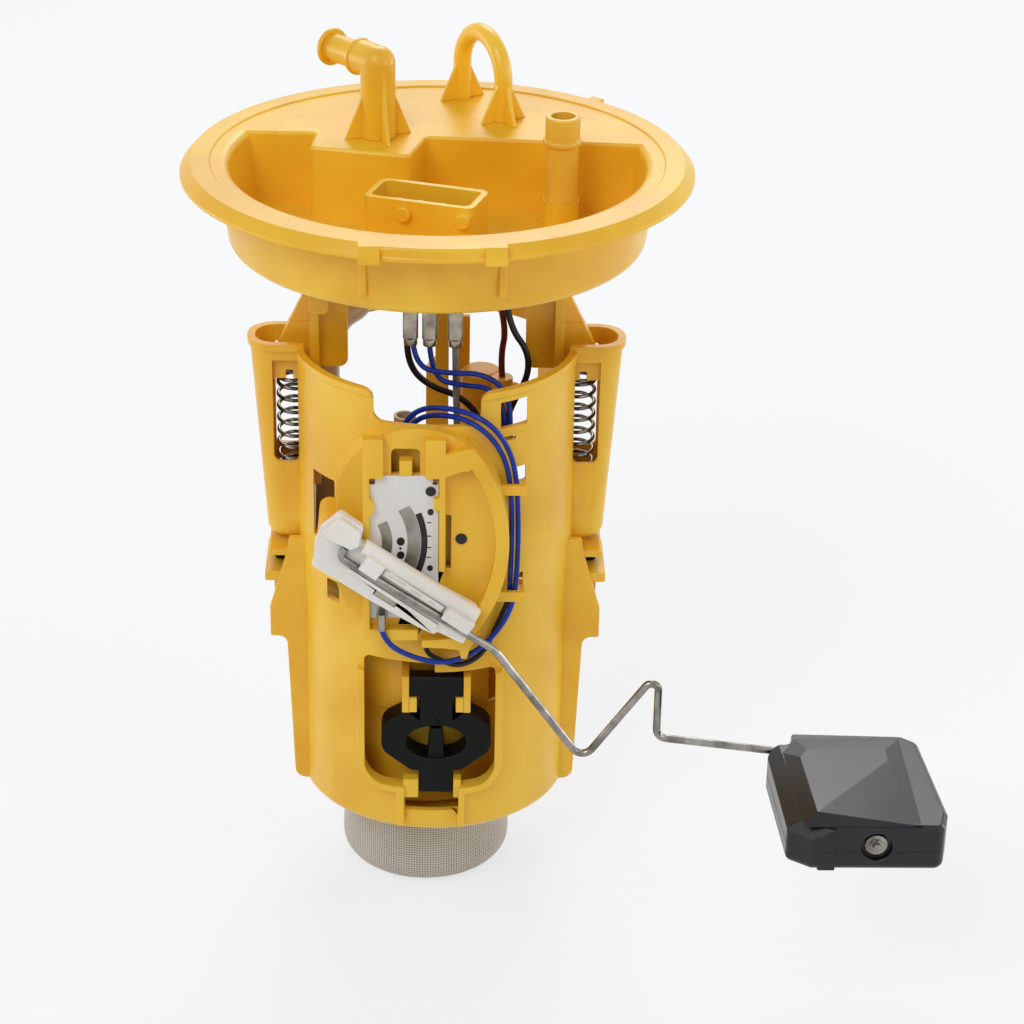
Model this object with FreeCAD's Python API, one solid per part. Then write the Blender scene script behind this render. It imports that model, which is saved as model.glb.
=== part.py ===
import FreeCAD, Part
import math
import os

V = FreeCAD.Vector
UP = V(0, 0, 1)
DOWN = V(0, 0, -1)
FORWARD = V(0, -1, 0)
ORIGIN = V(0, 0, 0)

# An in-tank fuel pump module: a round flange that closes the tank opening, and a pump pot that
# slides on two spring legs under it and carries the level sender with its float.
# Millimetres, +Z up. The origin is on the module's axis at the flange's sealing face,
# and -Y is the side with the level sender.

# Flange
rim_radius = 70.0
rim_thickness = 3.6
rim_lip_width = 2.6
rim_lip_drop = 2.8
rim_step = 0.5
rim_ring_inner = 61.6
cup_radius = 59.0
cup_draft = 2.0
cup_depth = 19.7
spigot_land = 6.0
cup_wall = 2.2
cup_corner = 3.0
recess_edge = 2.4
deck_thickness = 2.5
deck_top = rim_thickness - rim_step
back_wall_left_y = 21.4
back_wall_right_y = 18.4
back_wall_right_slope = -5.0
step_corners = ((-34.0, 21.4), (-35.3, 8.9), (-7.7, 2.3), (-3.2, 18.4))
step_corner_radius = 1.8
grip_left = -20.0
grip_right = 17.7
grip_reach = 1.6
grip_pad = 5.5
grip_rib_width = 2.0
grip_rib_length = 14.5
grip_rib_inset = 0.4
index_lug_angle = 49.5
index_lug_width = 4.0

# Pipes on the flange
elbow_x = -16.7
elbow_y = 18.4
elbow_height = 21.0
elbow_radius = 4.85
elbow_bore = 2.6
elbow_heading = 132.3
elbow_reach = 20.0
elbow_neck_radius = 3.9
elbow_collar_at = 8.2
elbow_bead_radius = 5.25
elbow_bead_length = 1.6
gusset_thickness = 1.2
elbow_gusset_reach = 4.9
elbow_gusset_height = 12.0
elbow_gusset_first = 20.0
outlet_spigot_radius = 2.75
outlet_spigot_length = 22.0
nipple_x = 33.8
nipple_y = 1.3
nipple_socket_radius = 4.95
nipple_socket_top = -8.7
nipple_radius = 4.45
nipple_bore = 3.3
nipple_collar_radius = 5.35
nipple_collar_z = 7.2
nipple_collar_height = 1.6
nipple_top_radius = 4.75
nipple_top = 15.2
nipple_insertion = 5.0
return_stub_wall = 0.9
return_stub_length = 8.0
loop_feet = ((6.8, rim_radius - 17.4), (18.2, rim_radius - 37.6))
loop_bar_radius = 2.55
loop_top = 28.0
loop_gusset_reach = 4.6
loop_gusset_height = 10.0

# Electrical connector
connector_x = -3.0
connector_y = -18.6
connector_turn = -18.7
connector_length = 30.8
connector_width = 15.3
connector_wall = 1.7
connector_floor = 2.0
connector_corner = 2.6
connector_top = 0.0
key_places = (-3.7, 12.9)
key_radius = 2.1
key_reach = 1.7
key_z = -3.6
pin_count = 4
pin_pitch = 6.2
pin_center_shift = 1.2
pin_row_shift = 1.5
pin_radius = 0.8
pin_tip_z = -2.8
blade_width = 2.8
blade_thickness = 0.8
blade_places = ((-7.2, -18.0, -38.0), (-1.95, -18.5, -38.0), (5.05, -19.0, -38.0), (18.6, -5.0, -32.0))
blade_link_drop = 0.6
terminal_width = 4.2
terminal_depth = 2.6
terminal_above_tip = 5.0
terminal_below_tip = 4.0
terminal_crimp_radius = 1.9
terminal_crimp_length = 2.0
running_gap = 0.3
blade_fit = 0.05

# Barrel of the pot
pot_radius_top = 39.8
pot_radius_bottom = 39.1
pot_wall = 2.0
pot_rim_z = -50.0
pot_bottom_z = -188.0
pot_floor = 2.4
pot_bottom_corner = 3.0

# Guide legs under the flange
leg_side_gap = 2.45
leg_post_thickness = 2.7
leg_post_x = pot_radius_top - pot_wall - leg_side_gap - leg_post_thickness / 2
leg_post_front = -7.0
leg_post_back = 4.5
leg_bottom_z = -92.0
leg_web_inner_x = 24.8
leg_web_y = -3.0
leg_web_thickness = 2.0
leg_web_bottom_z = -57.0
leg_gusset_thickness = 3.0
leg_tab_length = 19.8
leg_tab_thickness = 1.6
leg_gusset_top_z = -31.0
foot_half_width = 5.2
foot_top_z = -53.9
foot_bottom_z = -60.2
foot_slot_width = 2.0
foot_slot_height = 2.6

# Springs
spring_from_wall = 1.3
spring_x = pot_radius_top + spring_from_wall
foot_past_spring = 4.7
foot_outer_x = spring_x + foot_past_spring
spring_radius = 4.2
spring_wire = 1.1
spring_coils = 14

# Ears, windows and slots of the pot
strainer_hole_gap = 0.7
ear_rim_z = -48.6
ear_bottom_z = -109.5
ear_root_depth = 4.7
ear_root_x = pot_radius_top - ear_root_depth
ear_depth_top = 12.5
ear_depth_bottom = 8.2
ear_half_width_top = 8.0
ear_half_width_bottom = 6.8
ear_wall = 1.6
ear_floor = 3.2
ear_bottom_round = 5.0
ear_bead = 0.7
ear_bead_height = 2.2
ear_slot_inner_x = spring_x - 2.5
ear_slot_outer_x = spring_x + 4.6
ear_slot_top_z = -53.7
ear_slot_bottom_z = -85.0
notch_left = -17.0
notch_right = 12.0
notch_bottom_z = -59.0
notch_corner = 3.0
rear_window_half_angle = 51.0
rear_window_top_z = -55.5
rear_window_bottom_z = -140.0
rim_band = 0.35
rim_band_height = 2.0
wire_window = (17.4, 24.7, -61.5, -53.6)
wire_slot = (17.6, 21.6, -65.2, -64.1)
side_slots = ((-34.1, -28.0, -101.2, -81.0), (-30.4, -27.0, -118.8, -112.6))

clip_windows = ((21.2, 24.5, -79.0, -74.0), (22.4, 24.4, -112.2, -107.2))
clamp_x = 19.5
clamp_y = -30.0
clamp_z = -95.0

# Pockets for the rubber mounts
front_pocket = (-19.9, 17.2, -172.0, -136.0)
front_pocket_rib = 2.1
front_pocket_proud = 2.0
front_pocket_corner = 6.0
drain_slot = (-9.3, 7.6, -180.2, -175.5)
pocket_leg_width = 2.0
cheek_y = 11.0
cheek_thickness = 2.0
side_pocket_half_width = 9.0
side_pocket_top_z = -113.0
side_pocket_bottom_z = -138.0
cheek_outline = ((2.6, -106.7), (3.3, -111.5), (8.4, -129.0, 0.6), (8.4, -138.4, 0.4), (3.7, -138.7, 2.6),
                 (1.8, -186.3))
bar_root = 0.4
upper_bar = (8.6, -112.9, -110.9)
lower_bar_root = 4.6
lower_bar = (9.8, -121.0, -118.0)

# Pump, its holder and the strainer
pump_x = -2.4
pump_radius = 19.2
pump_fit = 0.1
pump_bottom_z = -176.0
pump_top_z = -104.0
pump_cap_height = 9.0
pump_cap_radius = 17.0
pump_base_height = 6.0
pump_base_radius = 18.0
holder_wall = 2.2
holder_top_z = -92.0
holder_bottom_z = -183.0
holder_flange = 2.0
saddle_radius = 30.5
saddle_half_angle = 36.0
saddle_top_z = -131.0
saddle_bottom_z = -153.0
lid_radius = 24.5
lid_thickness = 2.2
vent_x = -8.8
vent_y = -12.0
vent_radius = 3.1
vent_bore = 2.3
vent_top_z = -68.0
post_x = 1.5
post_y = 8.0
post_width = 3.8
post_depth = 4.0
post_top_z = -43.0
boss_x = 12.6
boss_y = 6.0
boss_radius = 5.6
boss_top_z = -61.5
strip_x = 5.7
strip_y = 11.5
strip_width = 3.7
strip_top_z = -48.0
plug_x = 18.4
plug_y = -2.0
plug_radius = 3.0
plug_top_z = -60.5
gallery_x = -31.6
gallery_y = 9.6
gallery_top_z = -126.0
gallery_bottom_z = -138.0
gallery_spigot_length = 10.0
gallery_bore = 1.8
hose_fit = 0.05
inlet_radius = 6.0
strainer_radius = 24.9
strainer_top_z = -188.3
strainer_neck_radius = 20.5
seam_width = 2.4
strainer_height = 27.7
strainer_bottom_z = strainer_top_z - strainer_height
strainer_corner = 6.0
strainer_skin = 0.8
strainer_collar_radius = 26.3
strainer_collar_height = 2.0
strainer_rib = 1.6

# Front rubber mount
mount_x = 0.5
mount_ring_half_width = 15.6
mount_ring_half_height = 10.8
mount_ring_z = -157.2
mount_hole_half_width = 8.6
mount_hole_half_height = 5.4
mount_hole_z = -158.6
mount_front_y = 1.1 - pot_radius_bottom
mount_depth = 7.5
mount_block_half_width = 7.7
mount_block_top_z = -137.4
mount_block_depth = 4.6
mount_block_height = 6.3
mount_strut_half_width = 1.7
mount_strut_foot = 0.8
mount_neck_half_width = 4.7
mount_stem_half_width = 4.9
mount_stem_bottom_z = -175.2
mount_gap = 0.1
ring_shoulder_drop = 2.1
hook_depth = 2.2
arm_thickness = 2.0
side_mount_z = -122.3
side_mount_half_width = 5.5
side_mount_half_height = 8.7
side_mount_inner_x = pot_radius_bottom - 3.1
side_mount_outer_x = pot_radius_bottom + lower_bar_root - running_gap
mount_nose = (7.4, -117.6, -113.4)
mount_nose_half_width = 4.0
side_pin_radius = 2.6

# Level sender
pivot_x = -26.4
pivot_z = -91.6
frame_stand_off = 3.2
frame_face_y = -pot_radius_top - frame_stand_off
frame_plate = 2.0
frame_center_x = -5.1
frame_radius = 22.5
frame_upper_z = -80.6
frame_lower_z = -100.0
frame_skirt = 1.8
frame_left_x = -27.0
rail_width = 1.8
rail_top_z = -62.7
rail_bottom_z = -121.1
lip_reach = 1.4
bearing_radius = 6.0
guard_top_z = -62.6
guard_bottom_z = -121.2
rail_height = 3.0
frame_rail_y = frame_face_y - rail_height
guard_radius = 46.5
guard_width = 3.8
card_left = -18.0
card_right = 0.8
card_top_z = -71.6
card_bottom_z = -115.0
card_thickness = 1.0
track_thickness = 0.12
inner_track = (11.8, 14.6, -40.0, 26.0)
outer_track = (18.8, 22.3, -58.0, 30.0)
carbon_track = (22.5, 24.2, -56.0, 22.0)
clip_heights = (-78.1, -110.9)
clip_width = 3.0
clip_outer_x = 24.9
clip_front_y = frame_face_y + 3.6
clip_back_y = frame_face_y + 8.2
terminal_x = -14.7
terminal_lead_y = frame_rail_y - 1.1
terminal_bottom_z = -117.2
hub_post_radius = 3.0
hub_gap = 0.06

# Lever, wire and float
lever_angle = -35.7
lever_gap = 1.4
lever_back_y = frame_rail_y - lever_gap
lever_thickness = 2.6
lever_front_y = lever_back_y - lever_thickness
hub_cap = 0.8
clip_bite = 0.9
rib_v = 5.5
rib_radius = 2.2
wire_v = -0.6
wire_hook_u = 0.8
wire_hook_length = 3.2
wiper_tab = (15.3, 22.0, -4.7, -3.2)
wiper_thickness = 0.3
wiper_gap = 0.05
lever_outline = ((-3.4, -7.6), (-4.0, -5.6), (-6.7, -1.4), (-7.7, 3.2), (-6.2, 10.1, 1.0), (1.4, 9.9, 1.0),
                 (3.4, 6.0, 1.0), (19.1, 6.7), (28.6, 7.3), (41.0, 8.3, 1.5), (42.6, 5.5), (43.3, 2.7), (44.2, -3.1, 0.6),
                 (36.4, -4.1), (35.7, -5.4), (31.1, -6.1), (22.1, -6.7), (15.3, -7.1), (4.8, -7.3))
wire_radius = 1.1
wire_y = lever_front_y - wire_radius - 0.05
wire_route = ((16.6, -121.2), (41.5, -156.3), (62.1, -127.3), (62.1, -148.7))
wire_corner_radii = (8.0, 3.2, 2.0, 3.0)
wire_hook_radius = 1.8
wire_end_radius = 3.0
wire_end = 0.6
float_pivot_x = 118.6
float_pivot_z = -155.9
float_front_y = -96.0
float_outline = ((93.0, -55.5, 3.0), (100.5, -46.2, 2.0), (131.5, -47.5, 3.0), (135.6, -51.0, 2.0), (138.5, -88.0, 2.0),
                 (136.5, -96.0, 3.0), (101.0, -96.0, 1.5), (94.8, -91.5, 2.0))
crown_base = ((98.5, -55.0), (107.0, -49.5), (128.5, -52.5), (134.0, -90.0), (105.0, -92.5), (100.0, -62.0))
crown_top = ((103.0, -58.0), (107.5, -54.0), (126.5, -57.0), (127.5, -60.5), (107.8, -84.0), (102.5, -63.0))
float_band = (103.0, 107.6)
float_slot_left = 85.0
float_slot_top = -151.4
float_pocket_right = 100.5
float_pocket_z = -153.5
float_top_z = -149.6
float_bottom_z = -163.4
float_crown = 2.2
float_parting_z = -157.4
float_bore_gap = 0.08
lock_recess_radius = 4.2
lock_recess_depth = 2.0
lock_radius = 3.0
lock_thickness = 0.6

# Leads and hose, as the points of their routes
thin_lead = 1.5
thick_lead = 1.8
hose_diameter = 7.0
hose_bore = 5.6
blue_a_upper_route = ((-6.4, -18.2, -44.35), (-5.5, -19.0, -50.8), (3.7, -23.5, -50.3), (12.5, -27.5, -48.4),
                      (19.5, -30.2, -52.5), (20.4, -30.0, -64.0), (20.4, -30.0, -95.0))
blue_b_upper_route = ((-1.95, -18.5, -44.35), (-1.2, -18.8, -54.0), (7.0, -22.6, -54.2), (14.0, -27.2, -52.6),
                      (18.2, -29.6, -56.5), (18.6, -30.0, -66.0), (18.6, -30.0, -95.0))
blue_a_lower_route = ((20.4, -30.0, -95.0), (19.5, -30.2, -103.0), (8.0, -33.5, -108.0), (-6.0, -32.5, -98.0),
                      (-11.0, -28.0, -80.0), (-10.5, -27.5, -66.0), (-4.9, -28.0, -58.3), (5.5, -36.0, -55.2),
                      (13.4, -41.3, -56.2), (18.9, -40.3, -63.0), (22.0, -36.9, -74.0), (22.9, -36.5, -93.0),
                      (22.3, -36.9, -111.5), (19.2, -39.2, -119.5), (11.5, -41.4, -127.5), (2.3, -42.5, -130.5),
                      (-6.9, -44.5, -127.0), (-13.6, -46.8, -121.5), (-14.7, -47.1, -117.2))
blue_b_lower_route = ((18.6, -30.0, -95.0), (17.8, -30.6, -101.0), (8.0, -33.0, -105.0), (-4.8, -31.5, -96.5),
                      (-9.1, -27.3, -80.0), (-8.7, -26.8, -67.5), (-4.4, -28.6, -60.4), (5.5, -36.2, -57.2),
                      (12.3, -41.1, -58.6), (17.3, -40.0, -65.0), (20.3, -36.9, -75.0), (21.2, -36.5, -93.0),
                      (20.6, -36.0, -113.0))
black_end_route = ((20.6, -36.0, -113.0), (17.2, -36.6, -121.5), (13.5, -38.6, -129.5), (7.0, -39.9, -132.8),
                   (1.2, -40.6, -130.2), (-2.5, -41.4, -127.3), (-2.6, -42.9, -123.9))
black_pump_route = ((-8.1, -17.8, -44.35), (-7.9, -17.0, -50.5), (-2.5, -15.5, -57.5), (8.0, -14.5, -61.5),
                    (14.0, -13.0, -72.0), (14.5, -12.0, -92.0))
black_side_route = ((19.5, -5.0, -38.35), (20.5, -6.5, -44.0), (25.3, -8.0, -50.0), (25.6, -8.5, -57.5),
                    (21.0, -9.0, -66.0), (17.5, -9.0, -78.0), (17.0, -9.0, -92.0))
brown_route = ((17.7, -4.8, -38.35), (19.3, -3.0, -46.0), (17.9, -1.8, -54.0), (18.4, -2.0, -60.5))
grey_route = ((5.05, -19.0, -44.35), (5.5, -18.6, -68.0), (6.5, -16.0, -92.0))
hose_route = ((-16.7, 18.4, -12.0), (-16.7, 18.4, -45.0), (-31.6, 9.6, -50.0), (-30.6, 8.8, -80.0),
              (-31.6, 9.6, -108.0), (-31.6, 9.6, -124.0))


def block(x0, x1, y0, y1, z0, z1):
    """Box between two corners."""
    return Part.makeBox(x1 - x0, y1 - y0, z1 - z0, V(x0, y0, z0))


def post(radius, z0, z1, x=0.0, y=0.0):
    """Upright cylinder."""
    return Part.makeCylinder(radius, z1 - z0, V(x, y, z0), UP)


def rod(start, end, radius):
    """Cylinder from one point to another."""
    return Part.makeCylinder(radius, (end - start).Length, start, end - start)


def along_y(radius, y0, y1, x, z):
    """Cylinder that runs front to back."""
    return Part.makeCylinder(radius, y1 - y0, V(x, y0, z), V(0, 1, 0))


def fused(shapes):
    """All shapes as one, with the seams between flush faces removed."""
    return shapes[0].multiFuse(shapes[1:]).removeSplitter()


def corner_arc(before, corner, after, radius):
    """Start, middle and end of the arc that rounds a corner."""
    first = (before - corner).normalize()
    second = (after - corner).normalize()
    half = first.getAngle(second) / 2
    reach = radius / math.tan(half)
    bisector = (first + second).normalize()
    middle = corner + bisector * (radius / math.sin(half) - radius)
    return corner + first * reach, middle, corner + second * reach


def path_edges(points, radii, closed=False):
    """Straight runs joined by tangent arcs."""
    count = len(points)
    stops = []
    for index, point in enumerate(points):
        rounded = radii[index] > 0 and (closed or 0 < index < count - 1)
        if rounded:
            stops.append(corner_arc(points[index - 1], point, points[(index + 1) % count], radii[index]))
        else:
            stops.append((point, None, point))
    edges = []
    for index, (start, middle, end) in enumerate(stops):
        if middle is not None:
            edges.append(Part.Arc(start, middle, end).toShape())
        if index < count - 1 or closed:
            following = stops[(index + 1) % count][0]
            if end.distanceToPoint(following) > 0.001:
                edges.append(Part.LineSegment(end, following).toShape())
    return edges


def flat_face(points, place):
    """Face from corner points (a, b) or (a, b, corner radius)."""
    corners = [place(point[0], point[1]) for point in points]
    radii = [point[2] if len(point) > 2 else 0.0 for point in points]
    return Part.Face(Part.Wire(path_edges(corners, radii, closed=True)))


def plate(points, y0, y1):
    """Plate with its outline in x and z, from y0 to y1."""
    return flat_face(points, lambda x, z: V(x, y0, z)).extrude(V(0, y1 - y0, 0))


def slab(points, z0, z1):
    """Slab with its outline in x and y, from z0 to z1."""
    return flat_face(points, lambda x, y: V(x, y, z0)).extrude(V(0, 0, z1 - z0))


def cross_plate(points, x0, x1):
    """Plate with its outline in y and z, from x0 to x1."""
    return flat_face(points, lambda y, z: V(x0, y, z)).extrude(V(x1 - x0, 0, 0))


def turned(points, x=0.0, y=0.0):
    """Solid of revolution about an upright axis from points (radius, z)."""
    solid = flat_face(points, lambda r, z: V(r, 0, z)).revolve(ORIGIN, UP, 360)
    solid.translate(V(x, y, 0))
    return solid


def swept(points, radii, radius):
    """Round bar or cord along straight runs and tangent arcs."""
    path = Part.Wire(path_edges(points, radii))
    profile = Part.Wire(Part.makeCircle(radius, points[0], points[1] - points[0]))
    return path.makePipeShell([profile], True, False)


def cord_radii(points, diameter, name):
    """Largest tangent radius at each corner of a cord's route, which is printed."""
    radii = [0.0] * len(points)
    for index in range(1, len(points) - 1):
        back = points[index - 1] - points[index]
        ahead = points[index + 1] - points[index]
        turn = math.pi - back.getAngle(ahead)
        radii[index] = 0.45 * min(back.Length, ahead.Length) / math.tan(turn / 2)
    print(name, "smallest radius", round(min(radii[1:-1]) / diameter, 1), "diameters")
    return radii


def cord(name, route, diameter):
    """A lead or hose along its route."""
    points = [V(*point) for point in route]
    return swept(points, cord_radii(points, diameter, name), diameter / 2)


def mirrored(shape):
    """The same piece on the other side of the module."""
    return shape.mirror(ORIGIN, V(1, 0, 0))


def polar(radius, angle, x=0.0, y=0.0):
    """Point (a, b) at an angle in degrees round a centre."""
    turn = math.radians(angle)
    return x + radius * math.cos(turn), y + radius * math.sin(turn)


def deck_outline(inset=0.0):
    """Edge of the raised rear deck, seen from above."""
    beyond = rim_radius + 10
    slope = math.tan(math.radians(back_wall_right_slope))
    right_y = back_wall_right_y + slope * (beyond - step_corners[3][0])
    corners = [(-beyond, back_wall_left_y)]
    corners += [(x, y, step_corner_radius) for x, y in step_corners]
    corners += [(beyond, right_y), (beyond, beyond), (-beyond, beyond)]
    face = flat_face(corners, lambda x, y: V(x, y, -cup_depth - 1))
    if inset:
        face = face.makeOffset2D(-inset)
    return face


def cup_outside():
    """Rim and cup as one turned body, before it is hollowed."""
    return turned(((0, rim_thickness), (rim_radius - rim_lip_width, rim_thickness, 0.6),
                   (rim_radius, rim_thickness - rim_lip_drop, 0.5), (rim_radius, 0), (cup_radius, 0),
                   (cup_radius, -spigot_land), (cup_radius - cup_draft, -cup_depth, cup_corner), (0, -cup_depth)))


def recess():
    """Bowl of the cup, with the stepped rear deck left standing in it."""
    floor = cup_wall - cup_depth
    floor_radius = cup_radius - cup_draft - cup_wall
    top_radius = cup_radius - cup_wall
    bowl = turned(((0, floor), (floor_radius, floor, cup_corner - 1), (top_radius, deck_top, recess_edge),
                   (rim_ring_inner, deck_top), (rim_ring_inner + rim_step, rim_thickness),
                   (rim_ring_inner + rim_step, rim_thickness + 2), (0, rim_thickness + 2)))
    deck = deck_outline().extrude(V(0, 0, cup_depth + 1 + deck_top))
    top_edges = [edge for edge in deck.Edges
                 if edge.BoundBox.ZMin > deck_top - 0.01 and edge.BoundBox.YMin < back_wall_left_y + 1]
    deck = deck.makeFillet(step_corner_radius * 0.6, top_edges)
    return bowl.cut(deck)


def under_deck_cavity():
    """Hollow under the raised deck, open from below."""
    ceiling = deck_top - deck_thickness
    hollow = turned(((0, -cup_depth - 1), (cup_radius - cup_draft - cup_wall, -cup_depth - 1),
                     (cup_radius - cup_wall, ceiling), (0, ceiling)))
    inside = deck_outline(cup_wall).extrude(V(0, 0, cup_depth + 1 + ceiling))
    return hollow.common(inside)


def rim_grip():
    """Squared stretch of rim at the front with a sloped pad and a rib at each end."""
    first = math.degrees(math.acos(grip_left / rim_radius))
    last = math.degrees(math.acos(grip_right / rim_radius))
    section = flat_face(((rim_radius - 6, 0), (rim_radius - 0.4, 0), (rim_radius - 0.4, rim_thickness, 0.9),
                         (rim_radius - 6, rim_thickness)), lambda r, z: V(r, 0, z))
    section.rotate(ORIGIN, UP, -first)
    shapes = [section.revolve(ORIGIN, UP, first - last)]
    pad = ((-rim_radius + 6, rim_thickness), (-rim_radius + 2.2, rim_thickness),
           (-rim_radius - grip_reach, 0.6), (-rim_radius - grip_reach, 0), (-rim_radius + 6, 0))
    envelope = post(cup_radius - grip_rib_inset, -grip_rib_length, -spigot_land)
    for x in (grip_left, grip_right - grip_pad):
        shapes.append(cross_plate(pad, x, x + grip_pad))
    for x in (grip_left, grip_right - grip_rib_width):
        rib = block(x, x + grip_rib_width, -cup_radius, -cup_radius + 12, -grip_rib_length, -spigot_land)
        shapes.append(rib.common(envelope))
    return shapes


def flange_cover():
    """Flange: rim, cup with its recess, hollow deck, nipple socket and outlet spigot."""
    lug = block(rim_radius - 4, rim_radius + 1.2, -index_lug_width / 2, index_lug_width / 2, 0.6, 3.0)
    lug.rotate(ORIGIN, UP, index_lug_angle)
    body = fused([cup_outside(), lug] + rim_grip())
    body = body.cut(recess()).cut(under_deck_cavity())
    floor = cup_wall - cup_depth
    socket = post(nipple_socket_radius, floor - 0.5, nipple_socket_top, nipple_x, nipple_y)
    return_stub = post(nipple_bore + return_stub_wall, -cup_depth - return_stub_length, 0.5 - cup_depth, nipple_x,
                       nipple_y)
    spigot_top = deck_top - deck_thickness + 0.5
    spigot = post(outlet_spigot_radius, spigot_top - outlet_spigot_length, spigot_top, elbow_x, elbow_y)
    body = fused([body, socket, return_stub, spigot])
    seat = post(nipple_radius + pump_fit / 2, nipple_socket_top - nipple_insertion, 0, nipple_x, nipple_y)
    drain = post(nipple_bore - 1, -cup_depth - 20, 0, nipple_x, nipple_y)
    outlet = post(outlet_spigot_radius - 1, -cup_depth - 30, rim_thickness + 5, elbow_x, elbow_y)
    body = body.cut(seat).cut(drain).cut(outlet)
    for pin in connector_pins():
        body = body.cut(rod(V(pin.x, pin.y, -cup_depth - 1), V(pin.x, pin.y, 0), pin_radius))
    return body


def gusset(radius, reach, height, angle, foot):
    """Triangular web that braces a pipe against the face it stands on."""
    half = gusset_thickness / 2
    web = plate(((radius - 0.8, 0), (radius + reach, 0), (radius + reach - 0.5, 0.9), (radius - 0.2, height),
                 (radius - 0.8, height)), -half, half)
    web.rotate(ORIGIN, UP, angle)
    web.translate(foot)
    return web


def supply_elbow():
    """Supply pipe: a stem with four gussets, a domed bend and a necked hose end."""
    foot = V(elbow_x, elbow_y, deck_top)
    heading = V(*polar(1, elbow_heading), 0)
    bend = foot + UP * elbow_height
    tip = bend + heading * elbow_reach
    bead = rod(tip - heading * elbow_bead_length, tip, elbow_bead_radius)
    bead = bead.makeFillet(0.6, [edge for edge in bead.Edges if edge.Length > 20])
    collar = rod(bend, bend + heading * elbow_collar_at, elbow_radius)
    lip = rod(bend + heading * (elbow_collar_at - 1.2), bend + heading * elbow_collar_at, elbow_radius + 0.35)
    shapes = [rod(foot, bend, elbow_radius), Part.makeSphere(elbow_radius, bend), collar, lip,
              rod(bend, tip, elbow_neck_radius), bead]
    for quarter in range(4):
        angle = elbow_gusset_first + 90 * quarter
        shapes.append(gusset(elbow_radius, elbow_gusset_reach, elbow_gusset_height, angle, foot))
    pipe = fused(shapes)
    for hollow in (rod(foot - UP, bend, elbow_bore), Part.makeSphere(elbow_bore, bend),
                   rod(bend, tip + heading, elbow_bore)):
        pipe = pipe.cut(hollow)
    return pipe


def lift_loop():
    """Round-bar loop that the module is lifted by."""
    feet = [V(x, y, deck_top) for x, y in loop_feet]
    span = (feet[1] - feet[0]).Length
    rise = UP * (loop_top - loop_bar_radius - deck_top)
    points = [feet[0], feet[0] + rise, feet[1] + rise, feet[1]]
    bar = swept(points, [0, span / 2, span / 2, 0], loop_bar_radius)
    heading = math.degrees(math.atan2(feet[1].y - feet[0].y, feet[1].x - feet[0].x))
    shapes = [bar]
    for foot, quarters in ((feet[0], (1, 2, 3)), (feet[1], (0, 1, 2, 3))):
        for quarter in quarters:
            angle = heading + 90 * quarter
            shapes.append(gusset(loop_bar_radius, loop_gusset_reach, loop_gusset_height, angle, foot))
    return fused(shapes)


def return_nipple():
    """Straight return pipe, set in the socket of the recess floor."""
    base = nipple_socket_top - nipple_insertion
    tube = post(nipple_radius, base, nipple_collar_z, nipple_x, nipple_y)
    collar_top = nipple_collar_z + nipple_collar_height
    collar = post(nipple_collar_radius, nipple_collar_z, collar_top, nipple_x, nipple_y)
    collar = collar.makeFillet(0.5, [edge for edge in collar.Edges if edge.Length > 20])
    top = post(nipple_top_radius, nipple_collar_z, nipple_top, nipple_x, nipple_y)
    top = top.makeFillet(0.6, [edge for edge in top.Edges if edge.BoundBox.ZMin > nipple_top - 0.01])
    bore = post(nipple_bore, base - 1, nipple_top + 1, nipple_x, nipple_y)
    return fused([tube, collar, top]).cut(bore)


def connector_place(shape):
    """Turns a shape made about the origin to the connector's place."""
    shape.rotate(ORIGIN, UP, connector_turn)
    shape.translate(V(connector_x, connector_y, 0))
    return shape


def connector_pins():
    """Where the contact pins stand."""
    places = []
    for index in range(pin_count):
        along = pin_center_shift + pin_pitch * (index - (pin_count - 1) / 2)
        x, y = along, pin_row_shift
        turn = math.radians(connector_turn)
        places.append(V(connector_x + x * math.cos(turn) - y * math.sin(turn),
                        connector_y + x * math.sin(turn) + y * math.cos(turn), 0))
    return places


def rounded_rectangle(length, width, corner):
    """Corner points of a rectangle about the origin."""
    return ((-length / 2, -width / 2, corner), (length / 2, -width / 2, corner),
            (length / 2, width / 2, corner), (-length / 2, width / 2, corner))


def connector_shroud():
    """Open plug housing with two latch bosses."""
    floor = cup_wall - cup_depth
    outside = slab(rounded_rectangle(connector_length, connector_width, connector_corner), floor, connector_top)
    inside = slab(rounded_rectangle(connector_length - 2 * connector_wall, connector_width - 2 * connector_wall,
                                    connector_corner - connector_wall / 2),
                  floor + connector_floor, connector_top + 1)
    shell = outside.cut(inside)
    shapes = [shell]
    for along in key_places:
        face_y = -connector_width / 2
        key = along_y(key_radius, face_y - key_reach, face_y + connector_wall / 2, along, key_z)
        rim = [edge for edge in key.Edges if edge.BoundBox.YMax < face_y - key_reach + 0.01]
        shapes.append(key.makeFillet(0.5, rim))
    shroud = connector_place(fused(shapes))
    for pin in connector_pins():
        shroud = shroud.cut(rod(V(pin.x, pin.y, floor - 1), V(pin.x, pin.y, 0), pin_radius))
    return shroud


def contact_pins():
    """Four plated pins, each with a blade under the flange for its terminal."""
    shapes = []
    for pin, (x, y, tip_z) in zip(connector_pins(), blade_places):
        tip = V(pin.x, pin.y, pin_tip_z - pin_radius)
        link_top = -cup_depth - blade_link_drop
        stem = rod(V(pin.x, pin.y, link_top - blade_thickness), tip, pin_radius)
        nose = Part.makeSphere(pin_radius, tip)
        start = V(pin.x, pin.y, 0)
        end = V(x, y, 0)
        side = (end - start).cross(UP).normalize() * blade_thickness
        link = slab([(p.x, p.y) for p in (start - side, start + side, end + side, end - side)],
                    link_top - blade_thickness, link_top)
        half = blade_thickness / 2
        blade = block(x - blade_width / 2, x + blade_width / 2, y - half, y + half, tip_z, link_top)
        shapes.append(fused([stem, nose, link, blade]))
    return Part.makeCompound(shapes)


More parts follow.
